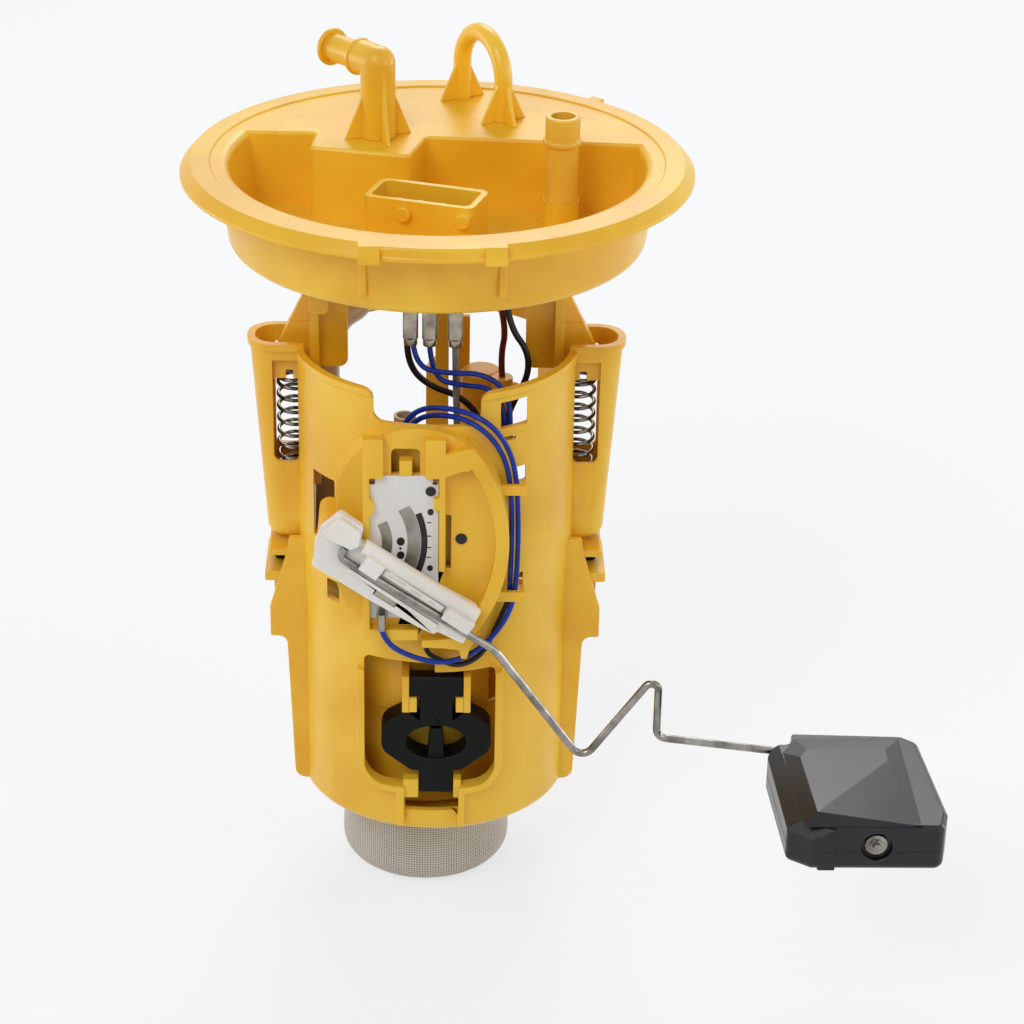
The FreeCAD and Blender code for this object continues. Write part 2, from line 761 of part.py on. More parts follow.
def blade_terminals():
    """Crimped sockets pushed on the four blades."""
    shapes = []
    for x, y, tip_z in blade_places:
        half_w = terminal_width / 2
        half_d = terminal_depth / 2
        top = tip_z + terminal_above_tip
        bottom = tip_z - terminal_below_tip
        box = block(x - half_w, x + half_w, y - half_d, y + half_d, bottom, top)
        box = box.makeFillet(0.9, [edge for edge in box.Edges if edge.BoundBox.ZLength > top - bottom - 0.1])
        crimp = post(terminal_crimp_radius, bottom - terminal_crimp_length, bottom, x, y)
        slot = block(x - blade_width / 2 - blade_fit, x + blade_width / 2 + blade_fit,
                     y - blade_thickness / 2 - blade_fit, y + blade_thickness / 2 + blade_fit,
                     tip_z - blade_fit, top + 1)
        shapes.append(fused([box, crimp]).cut(slot))
    return Part.makeCompound(shapes)


def guide_leg(front_tab):
    """Left leg: a post that slides in the pot, a web, and a foot that bears on the spring."""
    outer = -leg_post_x - leg_post_thickness / 2
    inner = -leg_post_x + leg_post_thickness / 2
    strip = block(outer, inner, leg_post_front, leg_post_back, leg_bottom_z, -cup_depth)
    web = plate(((inner - 0.5, -cup_depth), (inner - 0.5, leg_web_bottom_z),
                 (-leg_web_inner_x, leg_web_bottom_z, 2.5), (-leg_web_inner_x, -cup_depth)),
                leg_web_y - leg_web_thickness / 2, leg_web_y + leg_web_thickness / 2)
    half = leg_gusset_thickness / 2
    edge = -foot_outer_x + 0.5
    knee = (edge + 4.3, foot_top_z + 9.9)
    ankle = (edge + 1.4, foot_top_z + 3.9)
    wing = plate(((outer + 0.5, leg_gusset_top_z), (outer, leg_gusset_top_z), (edge + 7.7, foot_top_z + 16.9), knee,
                  ankle, (edge, foot_top_z), (edge, foot_top_z - 1), (outer + 0.5, foot_top_z - 1)), -half, half)
    rib = plate(((outer + 0.5, knee[1]), knee, ankle, (edge, foot_top_z), (outer + 0.5, foot_top_z)),
                -half - 0.7, half + 0.7)
    foot = block(-foot_outer_x, outer + 0.5, -foot_half_width, foot_half_width, foot_bottom_z, foot_top_z)
    slot = block(-spring_x - foot_slot_width / 2, -spring_x + foot_slot_width / 2, -foot_half_width - 1,
                 foot_half_width + 1, foot_bottom_z - 1, foot_bottom_z + foot_slot_height)
    leg = fused([strip, web, wing, rib, foot]).cut(slot)
    if front_tab:
        tab_x = inner + 2.85
        tab_z = -cup_depth - leg_tab_length
        tab = plate(((outer, -cup_depth), (outer, tab_z, 2.0), (tab_x, tab_z, 2.0), (tab_x, tab_z + 3.9),
                     (tab_x + 0.7, tab_z + 4.6), (tab_x + 0.7, tab_z + 9.0), (tab_x + 1.6, tab_z + 9.9),
                     (tab_x + 1.6, -cup_depth)), leg_post_front - leg_tab_thickness, leg_post_front)
        leg = fused([leg, tab])
    return leg


def right_guide_leg():
    """Right leg, cleared round the return stub of the flange."""
    clearance = nipple_bore + return_stub_wall + running_gap
    bottom = -cup_depth - return_stub_length - running_gap
    return mirrored(guide_leg(False)).cut(post(clearance, bottom, 0, nipple_x, nipple_y))


def leg_spring():
    """Left coil spring between the leg's foot and the floor of the ear."""
    seat_z = ear_bottom_z + ear_floor
    length = foot_bottom_z - seat_z - spring_wire
    coil_radius = spring_radius - spring_wire / 2
    helix = Part.makeHelix(length / spring_coils, length, coil_radius)
    profile = Part.Wire(Part.makeCircle(spring_wire / 2, V(coil_radius, 0, 0), V(0, 1, 0)))
    coil = Part.Wire(helix.Edges).makePipeShell([profile], True, True)
    coil.translate(V(-spring_x, 0, seat_z + spring_wire / 2))
    return coil


def barrel_radius(z):
    """Outer radius of the tapered pot at a height."""
    share = (pot_rim_z - z) / (pot_rim_z - pot_bottom_z)
    return pot_radius_top + (pot_radius_bottom - pot_radius_top) * share


def barrel():
    """Outside of the round pot."""
    return turned(((0, pot_rim_z), (pot_radius_top, pot_rim_z), (pot_radius_bottom, pot_bottom_z, pot_bottom_corner),
                   (0, pot_bottom_z)))


def barrel_inside():
    """Space inside the pot, open above its rim."""
    floor = pot_bottom_z + pot_floor
    above = pot_rim_z + 20
    return turned(((0, above), (pot_radius_top - pot_wall, above), (pot_radius_top - pot_wall, pot_rim_z),
                   (barrel_radius(floor) - pot_wall, floor, pot_bottom_corner - 1), (0, floor)))


def ear_section(z, inset):
    """U-shaped outline of the right ear at a height, set in by a wall."""
    share = (ear_rim_z - z) / (ear_rim_z - ear_bottom_z)
    half = ear_half_width_top + (ear_half_width_bottom - ear_half_width_top) * share - inset
    reach = pot_radius_top + ear_depth_top + (ear_depth_bottom - ear_depth_top) * share - inset
    corners = ((ear_root_x, -half), (reach, -half, 0.9 * half), (reach, half, 0.9 * half), (ear_root_x, half))
    return flat_face(corners, lambda x, y: V(x, y, z)).Wires[0]


def ear_body(inset, top_z, bottom_z):
    """Tapered ear between two heights."""
    return Part.makeLoft([ear_section(bottom_z, inset), ear_section(top_z, inset)], True, True)


def ear():
    """Outside of the right ear, with its beaded rim and rounded foot."""
    body = ear_body(0.0, ear_rim_z, ear_bottom_z)
    foot = [edge for edge in body.Edges if edge.BoundBox.ZMax < ear_bottom_z + 0.01 and edge.BoundBox.XMax > pot_radius_top]
    body = body.makeFillet(ear_floor - 0.4, foot)
    bead = ear_body(-ear_bead, ear_rim_z, ear_rim_z - ear_bead_height)
    return body.fuse(bead)


def front_pocket_frame():
    """Raised rib round the front pocket, with two legs that run down to the pot's foot."""
    left, right, bottom, top = front_pocket
    rib = front_pocket_rib
    outer = front_pocket_corner + rib
    frame = plate(((left - rib, top), (left - rib, bottom - rib, outer), (right + rib, bottom - rib, outer),
                   (right + rib, top)), -pot_radius_top - 10, 0)
    legs = [block(x - pocket_leg_width, x, -pot_radius_top - 10, 0, pot_bottom_z + pot_bottom_corner, bottom - rib + 1)
            for x in (drain_slot[0] + 0.7, drain_slot[1] + 1.0)]
    shell = post(pot_radius_top + front_pocket_proud, pot_bottom_z, top).cut(
        post(barrel_radius(bottom) - pot_wall / 2, pot_bottom_z, top))
    return fused([frame] + legs).common(shell)


def front_pocket_opening():
    """Opening of the front pocket and the channel under it."""
    left, right, bottom, top = front_pocket
    mouth = plate(((left, top), (left, bottom, front_pocket_corner), (right, bottom, front_pocket_corner),
                   (right, top + 1, 2.0), (0, top + 1), (0, top + 4), (left, top + 4, 2.0)), -60, -25)
    channel = block(drain_slot[0] + 0.8, drain_slot[1] - 0.6, -60, -25, drain_slot[2] - 0.5, bottom + 1)
    return mouth.fuse(channel)


def cheek(y0, y1):
    """Right cheek rib beside the side mount."""
    inner = pot_radius_bottom - pot_wall - 1
    corners = [(inner, cheek_outline[0][1])]
    corners += [(pot_radius_bottom + corner[0],) + corner[1:] for corner in cheek_outline]
    corners += [(inner, cheek_outline[-1][1])]
    return plate(corners, y0, y1)


def pot_shell():
    """Pot: round reservoir with two spring ears, pockets for the rubber mounts and lead clips."""
    right_ear = ear()
    outside = [barrel(), right_ear, mirrored(right_ear)]
    band = post(pot_radius_top + rim_band, pot_rim_z - rim_band_height, pot_rim_z)
    outside.append(band)
    for y in (-cheek_y, cheek_y):
        rib = cheek(y - cheek_thickness / 2, y + cheek_thickness / 2)
        outside += [rib, mirrored(rib)]
    for root, (reach, bottom, top) in ((bar_root, upper_bar), (lower_bar_root, lower_bar)):
        bar = block(pot_radius_bottom + root, pot_radius_bottom + reach, -cheek_y, cheek_y, bottom, top)
        bar = bar.makeFillet(0.6, [edge for edge in bar.Edges if edge.BoundBox.XMin > pot_radius_bottom + root + 0.1])
        outside += [bar, mirrored(bar)]
    outside.append(front_pocket_frame())
    shell = outside[0].multiFuse(outside[1:])
    shell = shell.cut(barrel_inside())
    pocket = ear_body(ear_wall, ear_rim_z + 0.01, ear_bottom_z + ear_floor)
    shell = shell.cut(pocket).cut(mirrored(pocket))
    cuts = [front_pocket_opening()]
    slot = block(ear_slot_inner_x, ear_slot_outer_x, -20, 20, ear_slot_bottom_z, ear_slot_top_z)
    slot = slot.makeFillet(2.0, [edge for edge in slot.Edges if edge.BoundBox.YLength > 39
                                 and edge.BoundBox.ZMax < ear_slot_bottom_z + 0.1])
    side_pocket = block(pot_radius_bottom - 8, pot_radius_bottom + 4, -side_pocket_half_width,
                        side_pocket_half_width, side_pocket_bottom_z, side_pocket_top_z)
    cuts += [slot, mirrored(slot), side_pocket, mirrored(side_pocket)]
    left, right = notch_left, notch_right
    cuts.append(plate(((left - 6, pot_rim_z + 4), (left - 6, pot_rim_z), (left, pot_rim_z, notch_corner),
                       (left, notch_bottom_z, notch_corner), (right, notch_bottom_z, notch_corner),
                       (right, pot_rim_z, notch_corner), (right + 6, pot_rim_z), (right + 6, pot_rim_z + 4)), -60, -20))
    rear = Part.makeCylinder(pot_radius_top + 5, rear_window_top_z - rear_window_bottom_z,
                             V(0, 0, rear_window_bottom_z), UP, 2 * rear_window_half_angle)
    rear.rotate(ORIGIN, UP, 90 - rear_window_half_angle)
    cuts.append(rear)
    for x0, x1, z0, z1 in (wire_window, wire_slot) + side_slots + clip_windows:
        cuts.append(block(x0, x1, -60, -12, z0, z1))
    for cutter in cuts:
        shell = shell.cut(cutter)
    hole = post(strainer_neck_radius + strainer_hole_gap, pot_bottom_z - 1, pot_bottom_z + pot_floor + 1, pump_x)
    shell = shell.cut(hole)
    stem_side = mount_stem_half_width + mount_gap
    tabs = [block(x0, x1, -pot_radius_bottom - 0.6, -pot_radius_bottom + 3, drain_slot[3] - 0.5, drain_slot[3] + 5.5)
            for x0, x1 in ((drain_slot[0] + 0.5, mount_x - stem_side), (mount_x + stem_side, drain_slot[1] + 0.1))]
    clamp = block(clamp_x - 2.9, clamp_x + 2.9, clamp_y - 5.5, clamp_y - running_gap - thin_lead / 2, clamp_z - 2,
                  clamp_z + 2)
    clamp = clamp.common(post(barrel_radius(clamp_z) - pot_wall / 2, clamp_z - 3, clamp_z + 3))
    return fused([shell, clamp] + tabs)


def arc_band(inner, outer, first, last, y0, y1):
    """Flat ring segment round the sender's pivot, from one angle to another."""
    section = flat_face(((inner, y0), (outer, y0), (outer, y1), (inner, y1)), lambda r, y: V(r, y, 0))
    section.rotate(ORIGIN, FORWARD, first)
    band = section.revolve(ORIGIN, FORWARD, last - first)
    band.translate(V(pivot_x, 0, pivot_z))
    return band


def pump_holder():
    """Holder: sleeve and lid round the pump, columns on the lid, arms for the rubber mounts and the outlet."""
    outer = pump_radius + pump_fit + holder_wall
    lid_bottom = holder_top_z - lid_thickness
    shapes = [post(outer, holder_bottom_z, lid_bottom + 0.5, pump_x),
              post(outer + holder_flange, holder_bottom_z, holder_bottom_z + holder_flange, pump_x),
              post(lid_radius, lid_bottom, holder_top_z, pump_x)]
    saddle = post(saddle_radius, saddle_bottom_z, saddle_top_z, pump_x)
    hollow = post(saddle_radius - holder_wall, saddle_bottom_z - 1, saddle_top_z - holder_wall, pump_x)
    wedge = Part.makeCylinder(saddle_radius + 5, saddle_top_z - saddle_bottom_z + 2,
                              V(0, 0, saddle_bottom_z - 1), UP, 2 * saddle_half_angle)
    wedge.rotate(ORIGIN, UP, -90 - saddle_half_angle)
    wedge.translate(V(pump_x, 0, 0))
    shapes.append(saddle.cut(hollow).common(wedge))
    for x0, hook_x in ((mount_x - mount_block_half_width - arm_thickness, mount_x - mount_block_half_width),
                       (mount_x + mount_block_half_width, mount_x + mount_block_half_width - hook_depth)):
        arm_top = mount_block_top_z + 0.6
        arm_bottom = mount_ring_z + mount_ring_half_height - ring_shoulder_drop + mount_gap
        shapes.append(block(x0, x0 + arm_thickness, mount_front_y - 0.8, -saddle_radius + 5, arm_bottom, arm_top))
        shapes.append(block(hook_x, hook_x + hook_depth, mount_front_y - 0.6, mount_front_y + 4, arm_bottom,
                            mount_block_top_z - mount_block_height - mount_gap / 2))
    for side in (-1, 1):
        start = V(pump_x + side * (outer - 1), 0, side_mount_z)
        shapes.append(rod(start, V(side * side_mount_outer_x, 0, side_mount_z), side_pin_radius))
    shapes.append(plate(((post_x - 1.9, post_top_z), (post_x + 1.9, post_top_z), (post_x + 1.9, holder_top_z - 0.5),
                         (post_x - 4.5, holder_top_z - 0.5), (post_x - 4.5, -62.5), (post_x - 3.4, -60.5),
                         (post_x - 1.9, -59.5)), post_y - post_depth / 2, post_y + post_depth / 2))
    shapes.append(block(strip_x, strip_x + strip_width, strip_y, strip_y + 2, holder_top_z - 0.5, strip_top_z))
    boss = post(boss_radius, holder_top_z - 0.5, boss_top_z, boss_x, boss_y)
    shapes.append(boss.makeFillet(1.2, [edge for edge in boss.Edges if edge.BoundBox.ZMin > boss_top_z - 0.01]))
    gallery_z = (gallery_top_z + gallery_bottom_z) / 2
    shapes.append(rod(V(pump_x - outer + 1.5, 2, gallery_z), V(gallery_x, gallery_y, gallery_z), 3.6))
    shapes.append(post(4.0, gallery_bottom_z, gallery_top_z, gallery_x, gallery_y))
    shapes.append(post(hose_bore / 2 - hose_fit, gallery_top_z, gallery_top_z + gallery_spigot_length, gallery_x, gallery_y))
    holder = fused(shapes)
    holder = holder.cut(post(pump_radius + pump_fit, holder_bottom_z - 1, lid_bottom, pump_x))
    bore = rod(V(pump_x - pump_radius, 2, gallery_z), V(gallery_x, gallery_y, gallery_z), gallery_bore)
    riser = post(gallery_bore, gallery_z, gallery_top_z + gallery_spigot_length + 1, gallery_x, gallery_y)
    return holder.cut(bore).cut(riser)


def fuel_pump():
    """Pump: steel can with rolled ends."""
    can = post(pump_radius, pump_bottom_z, pump_top_z, pump_x)
    return can.makeFillet(1.5, [edge for edge in can.Edges if edge.Length > 100])


def pump_end_cap():
    """Moulded cap on the pump's electrical end."""
    step = pump_top_z + pump_cap_height * 0.6
    top = pump_top_z + pump_cap_height
    return turned(((0, pump_top_z), (pump_cap_radius, pump_top_z), (pump_cap_radius, step, 1.0),
                   (pump_cap_radius * 0.6, step), (pump_cap_radius * 0.6, top, 1.0), (0, top)), pump_x)


def pump_base():
    """Moulded inlet end of the pump, with its inlet opening."""
    bottom = pump_bottom_z - pump_base_height
    disc = post(pump_base_radius, bottom, pump_bottom_z, pump_x)
    return disc.cut(post(inlet_radius, bottom - 1, bottom + pump_base_height / 2, pump_x))


def vent_tube():
    """Open tube on the holder's lid."""
    tube = post(vent_radius, holder_top_z, vent_top_z, vent_x, vent_y)
    return tube.cut(post(vent_bore, holder_top_z + 1, vent_top_z + 1, vent_x, vent_y))


def power_plug():
    """Plug that stands on the holder's lid and takes the brown lead."""
    body = post(plug_radius, holder_top_z, plug_top_z, plug_x, plug_y)
    wing = rod(V(plug_x + 2, plug_y - 1, plug_top_z - 3), V(plug_x + 4.4, plug_y - 1, plug_top_z - 3.4), 1.8)
    return fused([body, wing])


def strainer_collar():
    """Frame of the strainer: neck through the pot's floor, ring and cross bars."""
    neck = post(strainer_neck_radius, strainer_top_z, holder_bottom_z, pump_x)
    ring = post(strainer_collar_radius, strainer_top_z - strainer_collar_height, strainer_top_z, pump_x)
    skirt = post(strainer_radius - strainer_skin, strainer_top_z - 5, strainer_top_z, pump_x)
    body = fused([neck, ring, skirt])
    body = body.cut(post(strainer_neck_radius - holder_wall, strainer_top_z - 6, holder_bottom_z + 1, pump_x))
    height = strainer_bottom_z + strainer_skin
    legs = [post(strainer_rib, height, strainer_top_z - 1, *polar(strainer_neck_radius - 1, angle, pump_x))
            for angle in (45, 135, 225, 315)]
    hub = post(strainer_rib * 2, strainer_top_z - 3, strainer_top_z - 1, pump_x)
    bars = [block(pump_x - strainer_neck_radius, pump_x + strainer_neck_radius, -strainer_rib / 2, strainer_rib / 2,
                  strainer_top_z - 3, strainer_top_z - 1),
            block(pump_x - strainer_rib / 2, pump_x + strainer_rib / 2, -strainer_neck_radius, strainer_neck_radius,
                  strainer_top_z - 3, strainer_top_z - 1)]
    return fused([body, hub] + bars + legs)


def strainer_mesh():
    """Fine mesh bag of the strainer, with its welded seam down the left side and under the bottom."""
    top = strainer_top_z - strainer_collar_height
    inner = strainer_radius - strainer_skin
    bag = turned(((inner, top), (strainer_radius, top), (strainer_radius, strainer_bottom_z, strainer_corner),
                  (0, strainer_bottom_z), (0, strainer_bottom_z + strainer_skin),
                  (inner, strainer_bottom_z + strainer_skin, strainer_corner - strainer_skin)), pump_x)
    seam = block(pump_x - strainer_radius - 0.5, pump_x - inner, -seam_width / 2, seam_width / 2,
                 strainer_bottom_z + strainer_corner, top)
    under = turned(((strainer_radius - strainer_corner - 3, strainer_bottom_z - 0.4),
                    (strainer_radius - strainer_corner, strainer_bottom_z - 0.4),
                    (strainer_radius - strainer_corner, strainer_bottom_z + 0.4),
                    (strainer_radius - strainer_corner - 3, strainer_bottom_z + 0.4)), pump_x)
    return fused([bag, seam, under])


def front_mount():
    """Front rubber mount: block, neck, ring with a middle strut, and stem."""
    y0 = mount_front_y
    y1 = mount_front_y + mount_depth
    x = mount_x
    top = mount_block_top_z
    half = mount_block_half_width
    head = cross_plate(((y0, top - mount_block_height), (y0, top - 1.3), (y0 + 1.0, top), (y0 + mount_block_depth, top),
                        (y0 + mount_block_depth, top - mount_block_height)), x - half, x + half)
    neck = block(x - mount_neck_half_width, x + mount_neck_half_width, y0, y1, mount_ring_z + 4,
                 top - mount_block_height)
    shapes = [head, neck]
    wide = mount_ring_half_width
    high = mount_ring_half_height
    shoulder = 0.52 * wide
    ring = plate(((x - shoulder, mount_ring_z + high - ring_shoulder_drop), (x - wide, mount_ring_z + 0.42 * high, 5.0),
                  (x - wide, mount_ring_z - 0.38 * high, 5.0), (x - 0.45 * wide, mount_ring_z - high, 3.0),
                  (x + 0.45 * wide, mount_ring_z - high, 3.0), (x + wide, mount_ring_z - 0.38 * high, 5.0),
                  (x + wide, mount_ring_z + 0.42 * high, 5.0), (x + shoulder, mount_ring_z + high - ring_shoulder_drop),
                  (x + mount_neck_half_width, mount_ring_z + high - 5.2),
                  (x - mount_neck_half_width, mount_ring_z + high - 5.2)), y0, y1)
    eye_x = mount_hole_half_width
    eye_z = mount_hole_half_height
    center = V(x, y0 - 1, mount_hole_z)
    oval = Part.Ellipse(center + V(eye_x, 0, 0), center + V(0, 0, eye_z), center)
    eye = Part.Face(Part.Wire(oval.toShape())).extrude(V(0, mount_depth + 2, 0))
    stem = block(x - mount_stem_half_width, x + mount_stem_half_width, y0, y1, mount_stem_bottom_z, mount_ring_z - 8)
    foot = mount_strut_half_width + mount_strut_foot
    strut = plate(((x - foot, mount_hole_z - eye_z - 1), (x + foot, mount_hole_z - eye_z - 1),
                   (x + mount_strut_half_width, mount_hole_z + eye_z - 1.5, 0.6),
                   (x - mount_strut_half_width, mount_hole_z + eye_z - 1.5, 0.6)), y0 + 1.2, y1)
    body = fused(shapes + [ring]).cut(eye)
    return fused([body, stem, strut])


def side_mount():
    """Right rubber mount: a block round the holder's pin, with lips against the cheeks."""
    half = side_mount_half_height
    core = block(side_mount_inner_x, side_mount_outer_x, -side_mount_half_width, side_mount_half_width,
                 side_mount_z - half, side_mount_z + half)
    core = core.makeFillet(2.5, [edge for edge in core.Edges if edge.BoundBox.XLength > 1])
    reach = cheek_y - cheek_thickness / 2
    middle = (side_mount_inner_x + side_mount_outer_x) / 2
    lips = block(middle, middle + 3.4, -reach, reach, side_mount_z - 3, side_mount_z + 3)
    lips = lips.makeFillet(1.0, [edge for edge in lips.Edges if edge.BoundBox.YLength > 1])
    nose_reach, nose_bottom, nose_top = mount_nose
    nose = block(middle, pot_radius_bottom + nose_reach, -mount_nose_half_width, mount_nose_half_width, nose_bottom,
                 nose_top)
    nose = nose.makeFillet(1.2, [edge for edge in nose.Edges if edge.BoundBox.XMin > middle + 0.1])
    body = fused([core, lips, nose])
    return body.cut(rod(V(0, 0, side_mount_z), V(90, 0, side_mount_z), side_pin_radius))


def frame_outline(inset, y0, y1):
    """Long round outline of the sender's plate, cut straight on the left."""
    radius = frame_radius - inset
    x = frame_center_x
    body = fused([along_y(radius, y0, y1, x, frame_upper_z), along_y(radius, y0, y1, x, frame_lower_z),
                  block(x - radius, x + radius, y0, y1, frame_lower_z, frame_upper_z)])
    return body


def guard_outline(inset, y0, y1):
    """Outline of the float lever's guard, round the lever's pivot."""
    disc = along_y(guard_radius - inset, y0, y1, pivot_x, pivot_z)
    mask = plate(((card_right, -64.8), (8.5, guard_top_z), (30, guard_top_z), (30, guard_bottom_z),
                  (8.6, guard_bottom_z), (-3.7, guard_bottom_z - 2), (-3.7, frame_lower_z), (card_right, frame_lower_z)),
                 y0, y1)
    return disc.common(mask)


def sender_frame():
    """Sender frame: plate, skirt down to the pot, rails for the card, guard, bearing post and lead clips."""
    back = -20.0
    face = frame_face_y
    rail = frame_rail_y
    solid = frame_outline(0.0, face, back).fuse(guard_outline(0.0, face + 1, back))
    hollow = frame_outline(frame_skirt, face + frame_plate, back + 1).fuse(
        guard_outline(frame_skirt, face + frame_plate + 1, back + 1))
    window = plate(((-12.1, -71.6), (-4.3, -71.6), (-4.3, -64.0, 1.5), (-12.1, -64.0, 1.5)), face - 1, back)
    recess_slot = block(card_right + 1.9, card_right + 3.4, face - 1, back, frame_lower_z, -83.8)
    body = solid.cut(hollow).cut(window).cut(recess_slot)
    left_rail = card_left - rail_width
    shapes = [body,
              block(left_rail, card_left, rail, face + 0.5, rail_bottom_z, rail_top_z),
              block(left_rail, left_rail + 5.6, rail, face + 0.5, card_top_z, rail_top_z + 2.7),
              block(card_right - 3.7, card_right + 1.8, rail, face + 0.5, card_top_z, rail_top_z + 2.7),
              block(card_right + 0.1, card_right + 1.8, rail, face + 1.5, -99.7, card_top_z),
              plate(((left_rail, rail_bottom_z), (-4.7, rail_bottom_z), (-4.7, rail_bottom_z + 3.3),
                     (left_rail, rail_bottom_z + 3.3)), rail, face + 0.5),
              block(-9.9, -6.4, face - 1.2, face + frame_plate, card_top_z, -67.0)]
    lip_y = face - card_thickness
    for z0, z1 in ((-83.0, -78.0), (-98.0, -91.0)):
        shapes.append(plate(((card_left - 0.5, z0), (card_left + 0.5, z0 + 0.4), (card_left + lip_reach, z0 + 1.8, 1.0),
                             (card_left + lip_reach, z1 - 1.4, 1.0), (card_left + 0.5, z1), (card_left - 0.5, z1)),
                            rail, lip_y))
    shapes.append(block(card_right - 1.3, card_right + 0.5, rail, lip_y, -81.0, -77.5))
    rim = guard_outline(0.0, rail, face + 1.5).cut(
        along_y(guard_radius - guard_width, rail - 1, face + 3, pivot_x, pivot_z))
    shapes.append(rim.cut(block(-10, card_right + 1, rail - 1, face + 2, -110, -60)))
    shapes.append(plate(((card_right, -64.8), (8.5, guard_top_z), (11.5, -66.5), (8.7, -69.5), (7.6, -69.1),
                         (card_right + 1.0, -71.4)), rail, face + 1.5))
    shapes.append(plate(((-3.7, guard_bottom_z), (-3.7, guard_bottom_z - 2.2), (2.5, guard_bottom_z - 2.4),
                         (6.8, guard_bottom_z - 3.0), (7.2, -126.9, 0.7), (8.9, -126.9, 0.7),
                         (9.6, guard_bottom_z - 2.6), (12.6, guard_bottom_z + 2.5), (8.0, guard_bottom_z + 1)),
                        rail, face + 1.5))
    for z in clip_heights:
        half = clip_width / 2
        highest = max(abs(z + half - pivot_z), abs(z - half - pivot_z))
        inner_x = pivot_x + math.sqrt((guard_radius - frame_skirt / 2) ** 2 - highest ** 2)
        shapes.append(block(inner_x, clip_outer_x, clip_front_y, clip_front_y + 1.6, z - half, z + half))
        shapes.append(block(clip_outer_x - 1.2, clip_outer_x, clip_front_y, clip_back_y, z - half, z + half))
    shapes.append(along_y(bearing_radius, lever_back_y + running_gap, back, pivot_x, pivot_z))
    frame = fused(shapes)
    trim = block(-80, frame_left_x, frame_face_y - 5, 0, frame_lower_z - 30, frame_upper_z + 30)
    trim = trim.cut(along_y(bearing_radius, -60, 0, pivot_x, pivot_z))
    frame = frame.cut(trim).cut(barrel())
    post_top = lever_front_y + hub_cap + 0.1
    stub = along_y(hub_post_radius, post_top, lever_back_y + 1, pivot_x, pivot_z)
    return fused([frame, stub])


def resistor_card():
    """Ceramic card, with two notched top corners."""
    card = block(card_left, card_right, frame_face_y - card_thickness, frame_face_y, card_bottom_z, card_top_z)
    card = card.cut(block(card_right - 0.01, card_right + 1, -60, -30, card_bottom_z, card_top_z))
    for x in (card_left, card_right - 1.6):
        card = card.cut(block(x, x + 1.6, -60, -30, card_top_z - 1.6, card_top_z))
    return card


def contact_tracks():
    """Two printed metal tracks on the card."""
    top = frame_face_y - card_thickness
    return Part.makeCompound([arc_band(*track, top - track_thickness, top) for track in (inner_track, outer_track)])


def resistor_track():
    """Printed carbon track on the card."""
    top = frame_face_y - card_thickness
    return arc_band(*carbon_track, top - track_thickness, top)


def sender_rivets():
    """Rivet at the card's corner and rivet in the guard's floor."""
    card_face = frame_face_y - card_thickness
    first = along_y(1.4, card_face - 0.4, card_face, -1.4, -76.1)
    second = along_y(1.6, frame_face_y - 0.4, frame_face_y, 7.0, -90.9)
    return Part.makeCompound([first, second])


def sender_terminal():
    """Terminal clipped to the card's lower edge, with the crimp for its lead."""
    x = terminal_x
    back = frame_face_y - card_thickness - track_thickness
    strap = block(x - 1.6, x + 1.6, back - 0.4, back, card_bottom_z + 0.2, card_bottom_z + 4.7)
    crimp_top = card_bottom_z + 2.8
    riser = block(x - 0.9, x + 0.9, terminal_lead_y, back - 0.2, crimp_top - 1.6, crimp_top)
    crimp = rod(V(x, terminal_lead_y, crimp_top), V(x, terminal_lead_y, terminal_bottom_z), 1.1)
    return fused([strap, riser, crimp])


def lever_place(shape):
    """Turns a shape made along +X about the pivot to the lever's place with the float at its lowest."""
    shape.rotate(ORIGIN, FORWARD, lever_angle)
    shape.translate(V(pivot_x, 0, pivot_z))
    return shape


def wire_height(u):
    """How far across the lever the wire's middle is, at a distance along it."""
    x, z = wire_route[0]
    turn = math.radians(lever_angle)
    end_u = (x - pivot_x) * math.cos(turn) + (z - pivot_z) * math.sin(turn)
    end_v = (z - pivot_z) * math.cos(turn) - (x - pivot_x) * math.sin(turn)
    return wire_v + (end_v - wire_v) * (u - wire_hook_u) / (end_u - wire_hook_u)


def float_lever():
    """Float lever: plate with its hub, stiffening rib and two clips over the wire."""
    front = lever_front_y
    shapes = [plate(lever_outline, front, lever_back_y),
              plate(((-7.0, 3.2), (-5.6, 9.5, 1.0), (1.0, 9.3, 1.0), (3.0, 5.6), (1.8, 3.4), (-5.0, 2.6)),
                    front - 2.4, front + 0.5)]
    rib = rod(V(4.5, front, rib_v), V(42.0, front, rib_v + 0.7), rib_radius)
    shapes.append(rib)
    for u0, u1 in ((6.6, 12.4), (33.6, 42.4)):
        side = wire_height(u1) + wire_radius + running_gap
        lip_back = wire_y - wire_radius - running_gap / 2
        shapes.append(block(u0, u1, lip_back - 1.0, front + 0.5, side, rib_v - 0.5))
        shapes.append(block(u0, u1, lip_back - 1.0, lip_back, side - clip_bite, side + 0.5))
    side = wire_height(33.0) + wire_radius + running_gap
    strip = block(13.6, 33.0, front - 1.3, front + 0.5, side, side + 1.9)
    for u0, u1 in ((15.0, 20.5), (22.5, 26.0), (28.5, 30.5)):
        strip = strip.cut(block(u0, u1, front - 2, front - 0.8, side + 0.6, side + 1.2))
    shapes.append(strip)
    ridge_top = wire_height(5.0) - wire_radius - running_gap
    shapes.append(block(5.0, 35.0, front - 1.2, front + 0.5, ridge_top - 1.0, ridge_top))
    lever = fused(shapes)
    lever = lever.cut(along_y(hub_post_radius + hub_gap, front + hub_cap, lever_back_y + 1, 0, 0))
    u0, u1, v0, v1 = wiper_tab
    lever = lever.cut(block(u0 - 0.3, u1 + 0.3, front - 1, lever_back_y + 1, v0 - 0.3, v1 + 0.3))
    return lever_place(lever)


